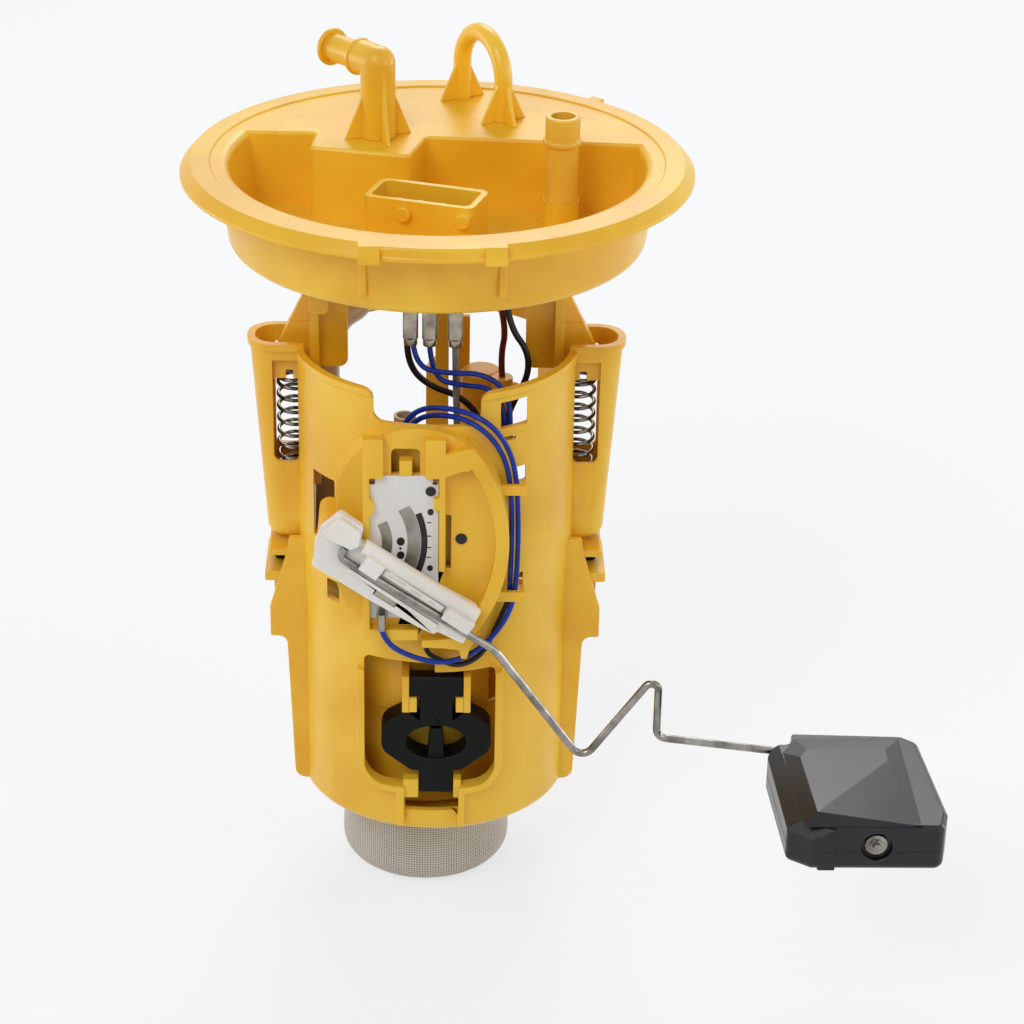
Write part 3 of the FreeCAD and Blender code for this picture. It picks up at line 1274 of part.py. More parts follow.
def wiper_contacts():
    """Sprung contact behind the lever, with three fingers that ride on the tracks."""
    back = lever_back_y
    strip = block(inner_track[0] - 0.3, carbon_track[1] + 1.0, back, back + wiper_thickness, wiper_tab[2], 1.4)
    strip = strip.cut(block(inner_track[0] + 2.9, outer_track[0] - 0.8, back - 1, back + 1, -1.4, 2))
    tip = frame_face_y - card_thickness - track_thickness - wiper_gap
    shapes = [strip]
    for inner, outer in (inner_track[:2], outer_track[:2], carbon_track[:2]):
        middle = (inner + outer) / 2
        finger = cross_plate(((back, -3.4), (back + wiper_thickness, -3.4), (tip - 0.3, 0.4), (tip, 0.7), (tip, 1.0),
                              (tip - 0.7, 1.0)), middle - 0.5, middle + 0.5)
        shapes.append(finger)
    u0, u1, v0, v1 = wiper_tab
    shapes.append(block(u0, u1, lever_front_y - 0.2, back + wiper_thickness, v0, v1))
    return lever_place(fused(shapes))


def lever_point(u, v):
    """Point of the wire's plane, along and across the lever from the pivot."""
    x, z = polar(u, lever_angle, pivot_x, pivot_z)
    dx, dz = polar(v, lever_angle + 90)
    return V(x + dx, wire_y, z + dz)


def float_wire():
    """Bent wire from the lever's hub to the float, which turns on its end."""
    points = [lever_point(wire_hook_u, wire_v + wire_hook_length), lever_point(wire_hook_u, wire_v)]
    points += [V(x, wire_y, z) for x, z in wire_route]
    points += [V(float_pivot_x, wire_y, float_pivot_z), V(float_pivot_x, float_front_y - wire_end, float_pivot_z)]
    return swept(points, [0.0, wire_hook_radius] + list(wire_corner_radii) + [wire_end_radius, 0.0], wire_radius)


def lock_washer():
    """Push-on washer that bites the wire in front of the float."""
    y = float_front_y + lock_recess_depth - running_gap
    disc = along_y(lock_radius, y - lock_thickness, y, float_pivot_x, float_pivot_z)
    crown = along_y(lock_radius - 1.2, y - 2 * lock_thickness, y - lock_thickness + 0.1, float_pivot_x, float_pivot_z)
    return fused([disc, crown]).cut(along_y(wire_radius, y - 3, y + 3, float_pivot_x, float_pivot_z))


def float_shell():
    """Whole float: faceted block with its wire slot, bend chamber, bore and washer recess."""
    body = slab(float_outline, float_bottom_z, float_top_z)
    body = body.makeFillet(2.2, [edge for edge in body.Edges if edge.BoundBox.ZMax < float_bottom_z + 0.01])
    rim = [edge for edge in body.Edges if edge.BoundBox.ZMin > float_top_z - 0.01]
    body = body.makeChamfer(1.3, rim)
    lower = flat_face(crown_base, lambda x, y: V(x, y, float_top_z - 0.3)).Wires[0]
    upper = flat_face(crown_top, lambda x, y: V(x, y, float_top_z + float_crown)).Wires[0]
    body = body.fuse(Part.makeLoft([lower, upper], True, True))
    body = body.fuse(block(*float_band, float_front_y - 0.4, float_front_y + 3, float_bottom_z + 0.3, float_top_z - 0.8))
    gap = wire_radius + 0.7
    slot = block(float_slot_left, float_pivot_x, wire_y - gap, wire_y + gap, float_bottom_z - 1, float_slot_top)
    slot = slot.fuse(along_y(gap, wire_y - gap, wire_y + gap, float_pivot_x, float_pivot_z))
    slot = slot.fuse(block(float_slot_left, float_pocket_right, wire_y - gap, wire_y + gap + 6, float_pocket_z,
                           float_top_z + 6))
    chamber = along_y(wire_end_radius + gap, wire_y - wire_end_radius - gap, wire_y + gap, float_pivot_x, float_pivot_z)
    bore = along_y(wire_radius + float_bore_gap, float_front_y - 1, wire_y, float_pivot_x, float_pivot_z)
    recess_cut = along_y(lock_recess_radius, float_front_y - 1, float_front_y + lock_recess_depth, float_pivot_x,
                         float_pivot_z)
    for cutter in (slot, chamber, bore, recess_cut):
        body = body.cut(cutter)
    return body.removeSplitter()


def float_half(upper):
    """One half of the float, above or below the parting face."""
    side = block(60, 180, -130, 0, float_parting_z, 0) if upper else block(60, 180, -130, 0, -220, float_parting_z)
    return float_shell().common(side)


def fuel_hose():
    """Moulded hose from the flange's outlet spigot to the pump's gallery."""
    points = [V(*point) for point in hose_route]
    radii = cord_radii(points, hose_diameter, "fuel_hose")
    outside = swept(points, radii, hose_diameter / 2)
    return outside.cut(swept(points, radii, hose_bore / 2))


right_spring = mirrored(leg_spring())
nodes = {
    "flange_cover": flange_cover(),
    "supply_elbow": supply_elbow(),
    "lift_loop": lift_loop(),
    "return_nipple": return_nipple(),
    "connector_shroud": connector_shroud(),
    "contact_pins": contact_pins(),
    "blade_terminals": blade_terminals(),
    "left_guide_leg": guide_leg(True),
    "right_guide_leg": right_guide_leg(),
    "left_spring": leg_spring(),
    "right_spring": right_spring,
    "pot_shell": pot_shell(),
    "pump_holder": pump_holder(),
    "fuel_pump": fuel_pump(),
    "pump_end_cap": pump_end_cap(),
    "pump_base": pump_base(),
    "vent_tube": vent_tube(),
    "power_plug": power_plug(),
    "strainer_collar": strainer_collar(),
    "strainer_mesh": strainer_mesh(),
    "front_rubber_mount": front_mount(),
    "right_rubber_mount": side_mount(),
    "left_rubber_mount": mirrored(side_mount()),
    "sender_frame": sender_frame(),
    "resistor_card": resistor_card(),
    "contact_tracks": contact_tracks(),
    "resistor_track": resistor_track(),
    "sender_rivets": sender_rivets(),
    "sender_terminal": sender_terminal(),
    "float_lever": float_lever(),
    "wiper_contacts": wiper_contacts(),
    "float_wire": float_wire(),
    "lock_washer": lock_washer(),
    "float_upper_half": float_half(True),
    "float_lower_half": float_half(False),
    "fuel_hose": fuel_hose(),
    "blue_lead_a_upper": cord("blue_lead_a_upper", blue_a_upper_route, thin_lead),
    "blue_lead_b_upper": cord("blue_lead_b_upper", blue_b_upper_route, thin_lead),
    "blue_lead_a_lower": cord("blue_lead_a_lower", blue_a_lower_route, thin_lead),
    "blue_lead_b_lower": cord("blue_lead_b_lower", blue_b_lower_route, thin_lead),
    "black_lead_end": cord("black_lead_end", black_end_route, thin_lead),
    "black_pump_lead": cord("black_pump_lead", black_pump_route, thick_lead),
    "black_side_lead": cord("black_side_lead", black_side_route, thick_lead),
    "brown_lead": cord("brown_lead", brown_route, thick_lead),
    "grey_lead": cord("grey_lead", grey_route, thick_lead),
}

os.makedirs("parts", exist_ok=True)
for name, shape in nodes.items():
    shape.exportStep(os.path.join("parts", name + ".step"))
    print(name, len(shape.Solids), shape.isValid(), round(shape.Volume))
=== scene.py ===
from math import atan2, cos, pi, radians, sin

import bpy
from mathutils import Matrix, Vector


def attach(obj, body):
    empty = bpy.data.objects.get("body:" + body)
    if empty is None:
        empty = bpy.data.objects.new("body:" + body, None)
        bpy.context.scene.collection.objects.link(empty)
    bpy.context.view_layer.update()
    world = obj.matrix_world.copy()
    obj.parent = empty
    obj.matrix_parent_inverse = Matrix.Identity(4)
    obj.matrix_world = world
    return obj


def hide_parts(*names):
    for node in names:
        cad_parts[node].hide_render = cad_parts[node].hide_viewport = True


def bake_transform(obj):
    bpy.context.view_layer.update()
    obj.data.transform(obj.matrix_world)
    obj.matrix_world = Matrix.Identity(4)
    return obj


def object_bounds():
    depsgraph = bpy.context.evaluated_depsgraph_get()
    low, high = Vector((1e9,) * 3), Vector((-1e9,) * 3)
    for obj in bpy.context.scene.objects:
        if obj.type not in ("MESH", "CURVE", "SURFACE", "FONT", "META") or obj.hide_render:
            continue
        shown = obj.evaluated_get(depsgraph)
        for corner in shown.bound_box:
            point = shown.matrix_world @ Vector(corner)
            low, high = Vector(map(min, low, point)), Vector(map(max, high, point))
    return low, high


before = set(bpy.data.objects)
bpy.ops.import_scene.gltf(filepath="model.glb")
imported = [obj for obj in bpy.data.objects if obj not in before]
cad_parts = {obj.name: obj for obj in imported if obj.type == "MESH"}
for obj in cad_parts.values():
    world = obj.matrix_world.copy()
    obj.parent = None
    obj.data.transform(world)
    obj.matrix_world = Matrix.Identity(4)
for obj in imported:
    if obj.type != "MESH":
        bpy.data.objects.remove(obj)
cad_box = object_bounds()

MM = 0.001

# Camera: a little above the flange and a touch to the left of the level sender, with a long lens,
# so that the tall module and the float fill a square picture.
CAMERA_PLACE = Vector((0.0, -745.5, 265.7)) * MM
CAMERA_YAW = 1.689
CAMERA_PITCH = 26.368
CAMERA_ROLL = 1.123
LENS_MM = 101.44
SENSOR_MM = 36.0
CLIP_START = 0.05

camera_data = bpy.data.cameras.new("camera")
camera_data.lens = LENS_MM
camera_data.sensor_width = SENSOR_MM
camera_data.clip_start = CLIP_START
camera = bpy.data.objects.new("camera", camera_data)
bpy.context.scene.collection.objects.link(camera)
turn = (Matrix.Rotation(radians(-CAMERA_YAW), 4, "Z") @ Matrix.Rotation(radians(90 - CAMERA_PITCH), 4, "X")
        @ Matrix.Rotation(radians(CAMERA_ROLL), 4, "Z"))
camera.matrix_world = Matrix.Translation(CAMERA_PLACE) @ turn
bpy.context.scene.camera = camera
bpy.context.scene.view_settings.view_transform = "Standard"


# Floor, lamps and sky: a white studio sweep under an even sky. One large soft lamp stands above the
# front left and one behind; a weaker one fills the right, and two at the sides light the edges.
FLOOR_DROP = 0.2 * MM
FLOOR_SIZE = 6.0
FLOOR_WHITE = "#F4F5F7"
FLOOR_SEEN_SHARE = 0.7
FIBRES_PER_METRE = 700.0
FIBRE_DEPTH = 0.0001
SKY_WHITE = "#FBFCFE"
SKY_LIGHT = "#FFFFFF"
SKY_STRENGTH = 0.36
LAMP_TARGET = Vector((0.01, 0.0, -0.08))
# Each lamp's name, its place and its width in metres, and its watts
LAMPS = (("key_softbox", (-0.5, -0.9, 0.9), 0.8, 6.8),
         ("fill_softbox", (0.95, -0.6, 0.3), 0.7, 2.0),
         ("back_softbox", (0.1, 1.1, 0.95), 0.9, 9.0),
         ("left_strip", (-1.0, 0.25, 0.0), 0.4, 2.2),
         ("right_strip", (1.0, 0.3, 0.0), 0.4, 2.2))


def linear(hex_value):
    """Linear colour of an sRGB hex value."""
    channels = [int(hex_value[at:at + 2], 16) / 255 for at in (1, 3, 5)]
    return [c / 12.92 if c <= 0.04045 else ((c + 0.055) / 1.055) ** 2.4 for c in channels] + [1.0]


def add_node(tree, kind, sockets, **settings):
    """One shader node with its settings; a socket takes a value or another node's output."""
    node = tree.nodes.new("ShaderNode" + kind)
    for name, value in settings.items():
        setattr(node, name, value)
    for name, value in sockets.items():
        if isinstance(value, bpy.types.NodeSocket):
            tree.links.new(value, node.inputs[name])
        else:
            node.inputs[name].default_value = value
    return node


def blank_material(name):
    """A material with an empty node tree."""
    material = bpy.data.materials.new(name)
    material.use_nodes = True
    material.node_tree.nodes.clear()
    return material, material.node_tree


def noise(tree, per_metre, detail, distortion=0.0):
    """Noise fixed to the piece, with so many marks to the metre."""
    place = add_node(tree, "TexCoord", {})
    marks = add_node(tree, "TexNoise", {"Vector": place.outputs["Object"], "Scale": per_metre,
                                        "Detail": detail, "Distortion": distortion})
    return marks.outputs["Fac"]


def bump(tree, height, strength, distance, below=None):
    """Normal of a relief, on top of another relief if there is one."""
    sockets = {"Height": height, "Strength": strength, "Distance": distance}
    if below is not None:
        sockets["Normal"] = below
    return add_node(tree, "Bump", sockets).outputs["Normal"]


def white_share(tree, camera_share):
    """How much plain white a ray meets: the camera its share, and mirrored or refracted rays all of it."""
    rays = add_node(tree, "LightPath", {})
    seen = add_node(tree, "Math", {0: rays.outputs["Is Camera Ray"], 1: camera_share}, operation="MULTIPLY")
    mirrored = add_node(tree, "Math", {0: rays.outputs["Is Glossy Ray"],
                                       1: rays.outputs["Is Transmission Ray"]}, operation="MAXIMUM")
    share = add_node(tree, "Math", {0: seen.outputs[0], 1: mirrored.outputs[0]}, operation="MAXIMUM")
    return share.outputs[0]


def take(piece):
    """Makes one object the only selected and the active one."""
    bpy.ops.object.select_all(action="DESELECT")
    piece.hide_set(False)
    piece.select_set(True)
    bpy.context.view_layer.objects.active = piece


sweep, tree = blank_material("white_studio_paper")
fibres = bump(tree, noise(tree, FIBRES_PER_METRE, 2.0), 0.05, FIBRE_DEPTH)
paper = add_node(tree, "BsdfPrincipled", {"Base Color": linear(FLOOR_WHITE), "Roughness": 0.9,
                                          "Specular IOR Level": 0.1, "Normal": fibres})
glow = add_node(tree, "Emission", {"Color": linear(SKY_WHITE), "Strength": 1.0})
both = add_node(tree, "MixShader", {0: white_share(tree, FLOOR_SEEN_SHARE), 1: paper.outputs["BSDF"],
                                    2: glow.outputs["Emission"]})
add_node(tree, "OutputMaterial", {"Surface": both.outputs["Shader"]})

bpy.ops.object.select_all(action="DESELECT")
bpy.ops.mesh.primitive_plane_add(size=FLOOR_SIZE, location=(0, 0, cad_box[0][2] - FLOOR_DROP))
floor = bpy.context.object
floor.name = "studio_floor"
floor.data.materials.append(sweep)

sky = bpy.data.worlds.new("studio_sky")
sky.use_nodes = True
tree = sky.node_tree
tree.nodes.clear()
even = add_node(tree, "Background", {"Color": linear(SKY_LIGHT), "Strength": SKY_STRENGTH})
white = add_node(tree, "Background", {"Color": linear(SKY_WHITE), "Strength": 1.0})
both = add_node(tree, "MixShader", {0: white_share(tree, 1.0), 1: even.outputs[0], 2: white.outputs[0]})
add_node(tree, "OutputWorld", {"Surface": both.outputs["Shader"]})
bpy.context.scene.world = sky

for name, where, width, watts in LAMPS:
    lamp_data = bpy.data.lights.new(name, "AREA")
    lamp_data.shape = "DISK"
    lamp_data.size = width
    lamp_data.energy = watts
    lamp = bpy.data.objects.new(name, lamp_data)
    bpy.context.scene.collection.objects.link(lamp)
    aim = LAMP_TARGET - Vector(where)
    lamp.matrix_world = Matrix.Translation(where) @ aim.to_track_quat("-Z", "Y").to_matrix().to_4x4()


# Flange cover: the round lid of the tank opening, with a deep cup and a stepped rear deck. It is one
# injection moulding in natural yellow acetal, glossy on its show faces and slightly see-through.
# The screw ring of the tank holds it down by its rim.
ACETAL_LIGHT = "#F7C936"
ACETAL_DEEP = "#ECB31F"
FLOW_MM = 40.0
GRAIN_MM = 0.35
GRAIN_DEPTH_MM = 0.006
GRAINS_PER_WAVE = 60
WAVE_DEPTH_SHARE = 5
TOUCHES_PER_METRE = 160.0
LIGHT_REACH_MM = 2.5
LIGHT_REACH_RGB = (1.0, 0.7, 0.2)


def moulding_grain(tree, size_mm, depth_mm, strength=0.35):
    """Normal of a fine spark-eroded mould surface, with grains of a real size on a slow waviness."""
    waves = noise(tree, 1000.0 / (GRAINS_PER_WAVE * size_mm), 1.0)
    slow = bump(tree, waves, strength, WAVE_DEPTH_SHARE * depth_mm * MM)
    return bump(tree, noise(tree, 1000.0 / size_mm, 2.0), strength, depth_mm * MM, slow)


def two_tone(tree, factor, dark, light, dark_at, light_at):
    """Colour that runs from a dark tone to a light one between two levels of a factor."""
    tint = add_node(tree, "ValToRGB", {"Fac": factor})
    for element, tone, level in zip(tint.color_ramp.elements, (dark, light), (dark_at, light_at)):
        element.position = level
        element.color = linear(tone)
    return tint.outputs["Color"]


def uneven(tree, factor, low, high):
    """A value that follows noise between a low and a high one."""
    spread = add_node(tree, "MapRange", {"Value": factor, "From Min": 0.3, "From Max": 0.7,
                                         "To Min": low, "To Max": high})
    return spread.outputs["Result"]


def surfaced(material, sockets):
    """Gives a material its one surface."""
    body = add_node(material.node_tree, "BsdfPrincipled", sockets)
    add_node(material.node_tree, "OutputMaterial", {"Surface": body.outputs["BSDF"]})
    return material


def acetal(name, light, deep, roughness=0.32, glow=0.08, gloss=0.5):
    """Natural acetal: flow marks a few centimetres long, a soft gloss and a little light inside."""
    material, tree = blank_material(name)
    tint = two_tone(tree, noise(tree, 1000.0 / FLOW_MM, 3.0, 0.8), deep, light, 0.35, 0.65)
    sheen = uneven(tree, noise(tree, TOUCHES_PER_METRE, 4.0), roughness - 0.05, roughness + 0.06)
    return surfaced(material, {"Base Color": tint, "Roughness": sheen, "IOR": 1.48,
                               "Specular IOR Level": gloss, "Subsurface Weight": glow,
                               "Subsurface Radius": LIGHT_REACH_RGB, "Subsurface Scale": LIGHT_REACH_MM * MM,
                               "Normal": moulding_grain(tree, GRAIN_MM, GRAIN_DEPTH_MM)})


SEAM = 1e-6
FLAT_WITHIN = 0.3
FACE_WEIGHT = 90


def merged_copy(node, name):
    """Copy of a CAD piece with its seams merged and its flat faces whole."""
    piece = bpy.data.objects.new(name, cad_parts[node].data.copy())
    bpy.context.scene.collection.objects.link(piece)
    take(piece)
    bpy.ops.object.mode_set(mode="EDIT")
    bpy.ops.mesh.select_all(action="SELECT")
    bpy.ops.mesh.remove_doubles(threshold=SEAM)
    bpy.ops.mesh.dissolve_limited(angle_limit=radians(FLAT_WITHIN))
    bpy.ops.object.mode_set(mode="OBJECT")
    bpy.ops.mesh.customdata_custom_splitnormals_clear()
    return piece


def softened(piece, edge_mm, steps=2, over=32, smooth=38):
    """Rounds the edges of a piece that turn by over one angle, and shades its curved faces smooth."""
    take(piece)
    if edge_mm:
        rounding = piece.modifiers.new("edge_rounding", "BEVEL")
        rounding.width = edge_mm * MM
        rounding.segments = steps
        rounding.limit_method = "ANGLE"
        rounding.angle_limit = radians(over)
        rounding.use_clamp_overlap = False
        rounding.miter_outer = "MITER_ARC"
        bpy.ops.object.modifier_apply(modifier=rounding.name)
    bpy.ops.object.shade_smooth_by_angle(angle=radians(smooth))
    weighting = piece.modifiers.new("face_weights", "WEIGHTED_NORMAL")
    weighting.keep_sharp = True
    weighting.weight = FACE_WEIGHT
    bpy.ops.object.modifier_apply(modifier=weighting.name)
    return piece


def pulled_block(name, middle_mm, size_mm):
    """A cube pulled to its width, depth and height about its middle."""
    middle = Vector(middle_mm) * MM
    bpy.ops.object.select_all(action="DESELECT")
    bpy.ops.mesh.primitive_cube_add(size=MM, location=middle)
    block = bpy.context.object
    block.name = name
    bpy.ops.object.transform_apply(location=True, rotation=True, scale=True)
    bpy.ops.object.mode_set(mode="EDIT")
    bpy.ops.mesh.select_all(action="SELECT")
    bpy.ops.transform.resize(value=size_mm, center_override=middle)
    bpy.ops.object.mode_set(mode="OBJECT")
    return block


def dress(piece, material, slot, body, *nodes):
    """Gives a piece its finish, the body it moves with and the CAD pieces it stands for."""
    piece.data.materials.clear()
    piece.data.materials.append(material)
    if piece.type == "MESH":
        for face in piece.data.polygons:
            face.material_index = 0
    if nodes:
        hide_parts(*nodes)
    if body:
        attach(piece, body)
    return piece


yellow_acetal = acetal("natural_yellow_acetal", ACETAL_LIGHT, ACETAL_DEEP)
flange = softened(merged_copy("flange_cover", "flange_moulding"), 0.0)
dress(flange, yellow_acetal, "moulding", "flange", "flange_cover")

CUP_RADIUS_MM = 59.0
RIB_WIDTH_MM = 1.9
RIB_TOP_MM = -0.4
RIB_FOOT_MM = -14.4
RIB_PROUD_MM = 0.8
RIB_ROOT_MM = 2.0
RIB_EDGE_MM = 0.35

for name, x in (("left_cup_rib", -19.2), ("right_cup_rib", 16.9)):
    wall = -(CUP_RADIUS_MM ** 2 - x ** 2) ** 0.5
    rib = pulled_block(name, (x, wall + (RIB_ROOT_MM - RIB_PROUD_MM) / 2, (RIB_TOP_MM + RIB_FOOT_MM) / 2),
                       (RIB_WIDTH_MM, RIB_ROOT_MM + RIB_PROUD_MM, RIB_TOP_MM - RIB_FOOT_MM))
    dress(softened(rib, RIB_EDGE_MM, 3), yellow_acetal, "moulding", "flange")


# Supply elbow: the pipe that takes the fuel line, with four webs at its foot and a barbed end.
# It is moulded in the same acetal and friction-welded on the flange's deck.
ELBOW_EDGE_MM = 0.25

elbow = softened(merged_copy("supply_elbow", "supply_pipe"), ELBOW_EDGE_MM)
dress(elbow, yellow_acetal, "moulding", "flange", "supply_elbow")


# Lift loop: the round bar that a fitter pulls the module out of the tank by. Its two feet have
# cross-shaped webs, and it is moulded in one with the deck.
LOOP_EDGE_MM = 0.25

loop = softened(merged_copy("lift_loop", "lifting_loop"), LOOP_EDGE_MM)
dress(loop, yellow_acetal, "moulding", "flange", "lift_loop")


# Return nipple: a straight pipe for the return line, turned up in its socket in the recess.
# It is moulded apart, in the same resin a shade deeper, and pressed into the socket.
NIPPLE_EDGE_MM = 0.2

deep_acetal = acetal("amber_acetal", "#F6CC52", "#EBB83C", 0.3, 0.2)
nipple = softened(merged_copy("return_nipple", "return_pipe"), NIPPLE_EDGE_MM)
dress(nipple, deep_acetal, "pale_moulding", "flange", "return_nipple")


# Plug socket: the open shroud that the loom's plug slides into and latches on by two round bosses.
# It is part of the same moulding as the flange.
SHROUD_EDGE_MM = 0.25

shroud = softened(merged_copy("connector_shroud", "plug_socket"), SHROUD_EDGE_MM)
dress(shroud, yellow_acetal, "moulding", "flange", "connector_shroud")


# Contact pins: four round pins in the socket, each with a flat blade under the flange. They are
# stamped and formed brass with a matt tin plate, pressed through the flange while it is moulded.
STAINS_PER_METRE = 220.0
MARK_DEPTH_MM = 0.004
MARK_STRENGTH = 0.25


def metal(name, light, dark, roughness, mark_mm, stretch=(1.0, 1.0, 1.0)):
    """Bare or plated metal with fine drawing or stamping marks."""
    material, tree = blank_material(name)
    place = add_node(tree, "TexCoord", {})
    pull = add_node(tree, "Mapping", {"Vector": place.outputs["Object"], "Scale": stretch})
    marks = add_node(tree, "TexNoise", {"Vector": pull.outputs["Vector"], "Scale": 1000.0 / mark_mm,
                                        "Detail": 4.0}).outputs["Fac"]
    tint = two_tone(tree, noise(tree, STAINS_PER_METRE, 3.0), dark, light, 0.3, 0.7)
    polish = uneven(tree, marks, roughness - 0.08, roughness + 0.1)
    return surfaced(material, {"Base Color": tint, "Metallic": 1.0, "Roughness": polish,
                               "Normal": bump(tree, marks, MARK_STRENGTH, MARK_DEPTH_MM * MM)})


tinned_brass = metal("tin_plated_brass", "#A9A59C", "#7F7A6F", 0.32, 0.15)
pins = softened(merged_copy("contact_pins", "socket_pins"), 0.0)
dress(pins, tinned_brass, "pin_metal", "flange", "contact_pins")


# Blade terminals: four crimped sockets pushed on the blades under the flange. They are stamped from
# tinned phosphor bronze strip and rolled round the wires.
bronze_strip = metal("tinned_phosphor_bronze", "#B3AA98", "#7C7465", 0.26, 0.2)
TERMINAL_EDGE_MM = 0.1

terminals = softened(merged_copy("blade_terminals", "crimped_sockets"), TERMINAL_EDGE_MM)
dress(terminals, bronze_strip, "terminal_metal", "flange", "blade_terminals")


# Guide legs: two posts under the cup that slide in the pot and bear on its springs by a foot each.
# They are moulded in one with the flange, with webs and a rib against bending.
LEG_EDGE_MM = 0.25

for node, name in (("left_guide_leg", "left_leg_moulding"), ("right_guide_leg", "right_leg_moulding")):
    leg = softened(merged_copy(node, name), LEG_EDGE_MM)
    dress(leg, yellow_acetal, "moulding", "flange", node)


# Springs: two coils of drawn spring steel wire between the legs' feet and the ears' floors. They are
# cold-coiled with closed ends, and press the pot down on the tank's floor.
SPRING_WIRE_MM = 1.1
SPRING_RADIUS_MM = 3.6
SPRING_AXIS_MM = 41.1
SPRING_FOOT_MM = -105.75
SPRING_HEAD_MM = -60.75
SPRING_TURNS = 14
SPRING_STEPS = 14
END_TURNS = 1.25

spring_steel = metal("drawn_spring_steel", "#9B9790", "#5E5A52", 0.24, 0.25)


def coil_height(turns):
    """Height of the wire's middle after some turns, with a closed turn at each end."""
    free_turns = SPRING_TURNS - 2 * END_TURNS
    open_share = min(max((turns - END_TURNS) / free_turns, 0.0), 1.0)
    closed = min(turns, END_TURNS) + max(turns - SPRING_TURNS + END_TURNS, 0.0)
    free_height = SPRING_HEAD_MM - SPRING_FOOT_MM - 2 * END_TURNS * SPRING_WIRE_MM
    return SPRING_FOOT_MM + closed * SPRING_WIRE_MM + open_share * free_height


for side, node in ((-1, "left_spring"), (1, "right_spring")):
    wire = bpy.data.curves.new(node + "_wire", "CURVE")
    wire.dimensions = "3D"
    wire.bevel_depth = SPRING_WIRE_MM / 2 * MM
    wire.bevel_resolution = 3
    wire.resolution_u = 2
    wire.use_fill_caps = True
    line = wire.splines.new("NURBS")
    count = SPRING_TURNS * SPRING_STEPS + 1
    line.points.add(count - 1)
    for index, point in enumerate(line.points):
        turns = index / SPRING_STEPS
        angle = 2 * pi * turns * side
        point.co = ((side * SPRING_AXIS_MM + SPRING_RADIUS_MM * cos(angle)) * MM,
                    SPRING_RADIUS_MM * sin(angle) * MM, coil_height(turns) * MM, 1.0)
    line.order_u = 3
    line.use_endpoint_u = True
    coil = bpy.data.objects.new(node + "_coil", wire)
    bpy.context.scene.collection.objects.link(coil)
    take(coil)
    bpy.ops.object.convert(target="MESH")
    coil = bpy.context.object
    dress(coil, spring_steel, "steel", None, node)
    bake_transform(coil)


# Pump pot: the reservoir that carries the pump, the strainer and the level sender. It is one deep
# injection moulding in natural acetal, a shade deeper than the flange where its wall is thick.
POT_LIGHT = "#F4C63C"
POT_DEEP = "#E9B124"
POT_EDGE_MM = 0.25
RAIL_CORNER_MM = 3.0
RAIL_CORNER_STEPS = 6
RAIL_FOOT_MM = -186.3
RAIL_OUTER_MM = 40.9
NEAR_MM = 0.1

pot_acetal = acetal("natural_pot_acetal", POT_LIGHT, POT_DEEP, 0.34, 0.1, 0.42)
pot = merged_copy("pot_shell", "pot_moulding")
bpy.ops.object.mode_set(mode="EDIT")
bpy.ops.mesh.select_all(action="DESELECT")
bpy.ops.object.mode_set(mode="OBJECT")
for edge in pot.data.edges:
    ends = [pot.data.vertices[index].co / MM for index in edge.vertices]
    edge.select = all(abs(end.z - RAIL_FOOT_MM) < NEAR_MM and abs(abs(end.x) - RAIL_OUTER_MM) < NEAR_MM
                      for end in ends)
bpy.ops.object.mode_set(mode="EDIT")
bpy.ops.mesh.select_mode(type="EDGE")
bpy.ops.mesh.bevel(offset=RAIL_CORNER_MM * MM, segments=RAIL_CORNER_STEPS, affect="EDGES")
bpy.ops.mesh.select_mode(type="VERT")
bpy.ops.object.mode_set(mode="OBJECT")
dress(softened(pot, POT_EDGE_MM), pot_acetal, "pot_moulding", "pot", "pot_shell")


# Pump holder: the inner moulding that clamps the pump and hangs in the pot on three rubber mounts.
# It is moulded in acetal, with columns and a boss on its lid, and its skirt shows through the pocket.
HOLDER_EDGE_MM = 0.2
PUMP_AXIS_X_MM = -2.4
SKIRT_RADIUS_MM = 29.7
SKIRT_TOP_MM = -153.4
SKIRT_FOOT_MM = -183.5
SKIRT_WALL_MM = 1.4
SKIRT_SIDES = 96
SKIRT_EDGE_MM = 0.25
SKIRT_TURNED_AWAY = -0.5

holder = softened(merged_copy("pump_holder", "holder_moulding"), HOLDER_EDGE_MM)
dress(holder, pot_acetal, "pot_moulding", "pot", "pump_holder")

bpy.ops.object.select_all(action="DESELECT")
bpy.ops.mesh.primitive_cylinder_add(vertices=SKIRT_SIDES, radius=SKIRT_RADIUS_MM * MM,
                                    depth=(SKIRT_TOP_MM - SKIRT_FOOT_MM) * MM, end_fill_type="NOTHING",
                                    location=(PUMP_AXIS_X_MM * MM, 0,
                                              (SKIRT_TOP_MM + SKIRT_FOOT_MM) / 2 * MM))
skirt = bpy.context.object
skirt.name = "holder_skirt"
bpy.ops.object.transform_apply(location=True, rotation=True, scale=True)
bpy.ops.object.mode_set(mode="EDIT")
bpy.ops.mesh.select_mode(type="FACE")
bpy.ops.mesh.select_all(action="DESELECT")
bpy.ops.object.mode_set(mode="OBJECT")
for face in skirt.data.polygons:
    face.select = face.normal.y > SKIRT_TURNED_AWAY
bpy.ops.object.mode_set(mode="EDIT")
bpy.ops.mesh.delete(type="FACE")
bpy.ops.mesh.select_mode(type="VERT")
bpy.ops.object.mode_set(mode="OBJECT")
wall = skirt.modifiers.new("skirt_wall", "SOLIDIFY")
wall.thickness = SKIRT_WALL_MM * MM
wall.offset = -1.0
bpy.ops.object.modifier_apply(modifier=wall.name)
dress(softened(skirt, SKIRT_EDGE_MM), pot_acetal, "pot_moulding", "pot")


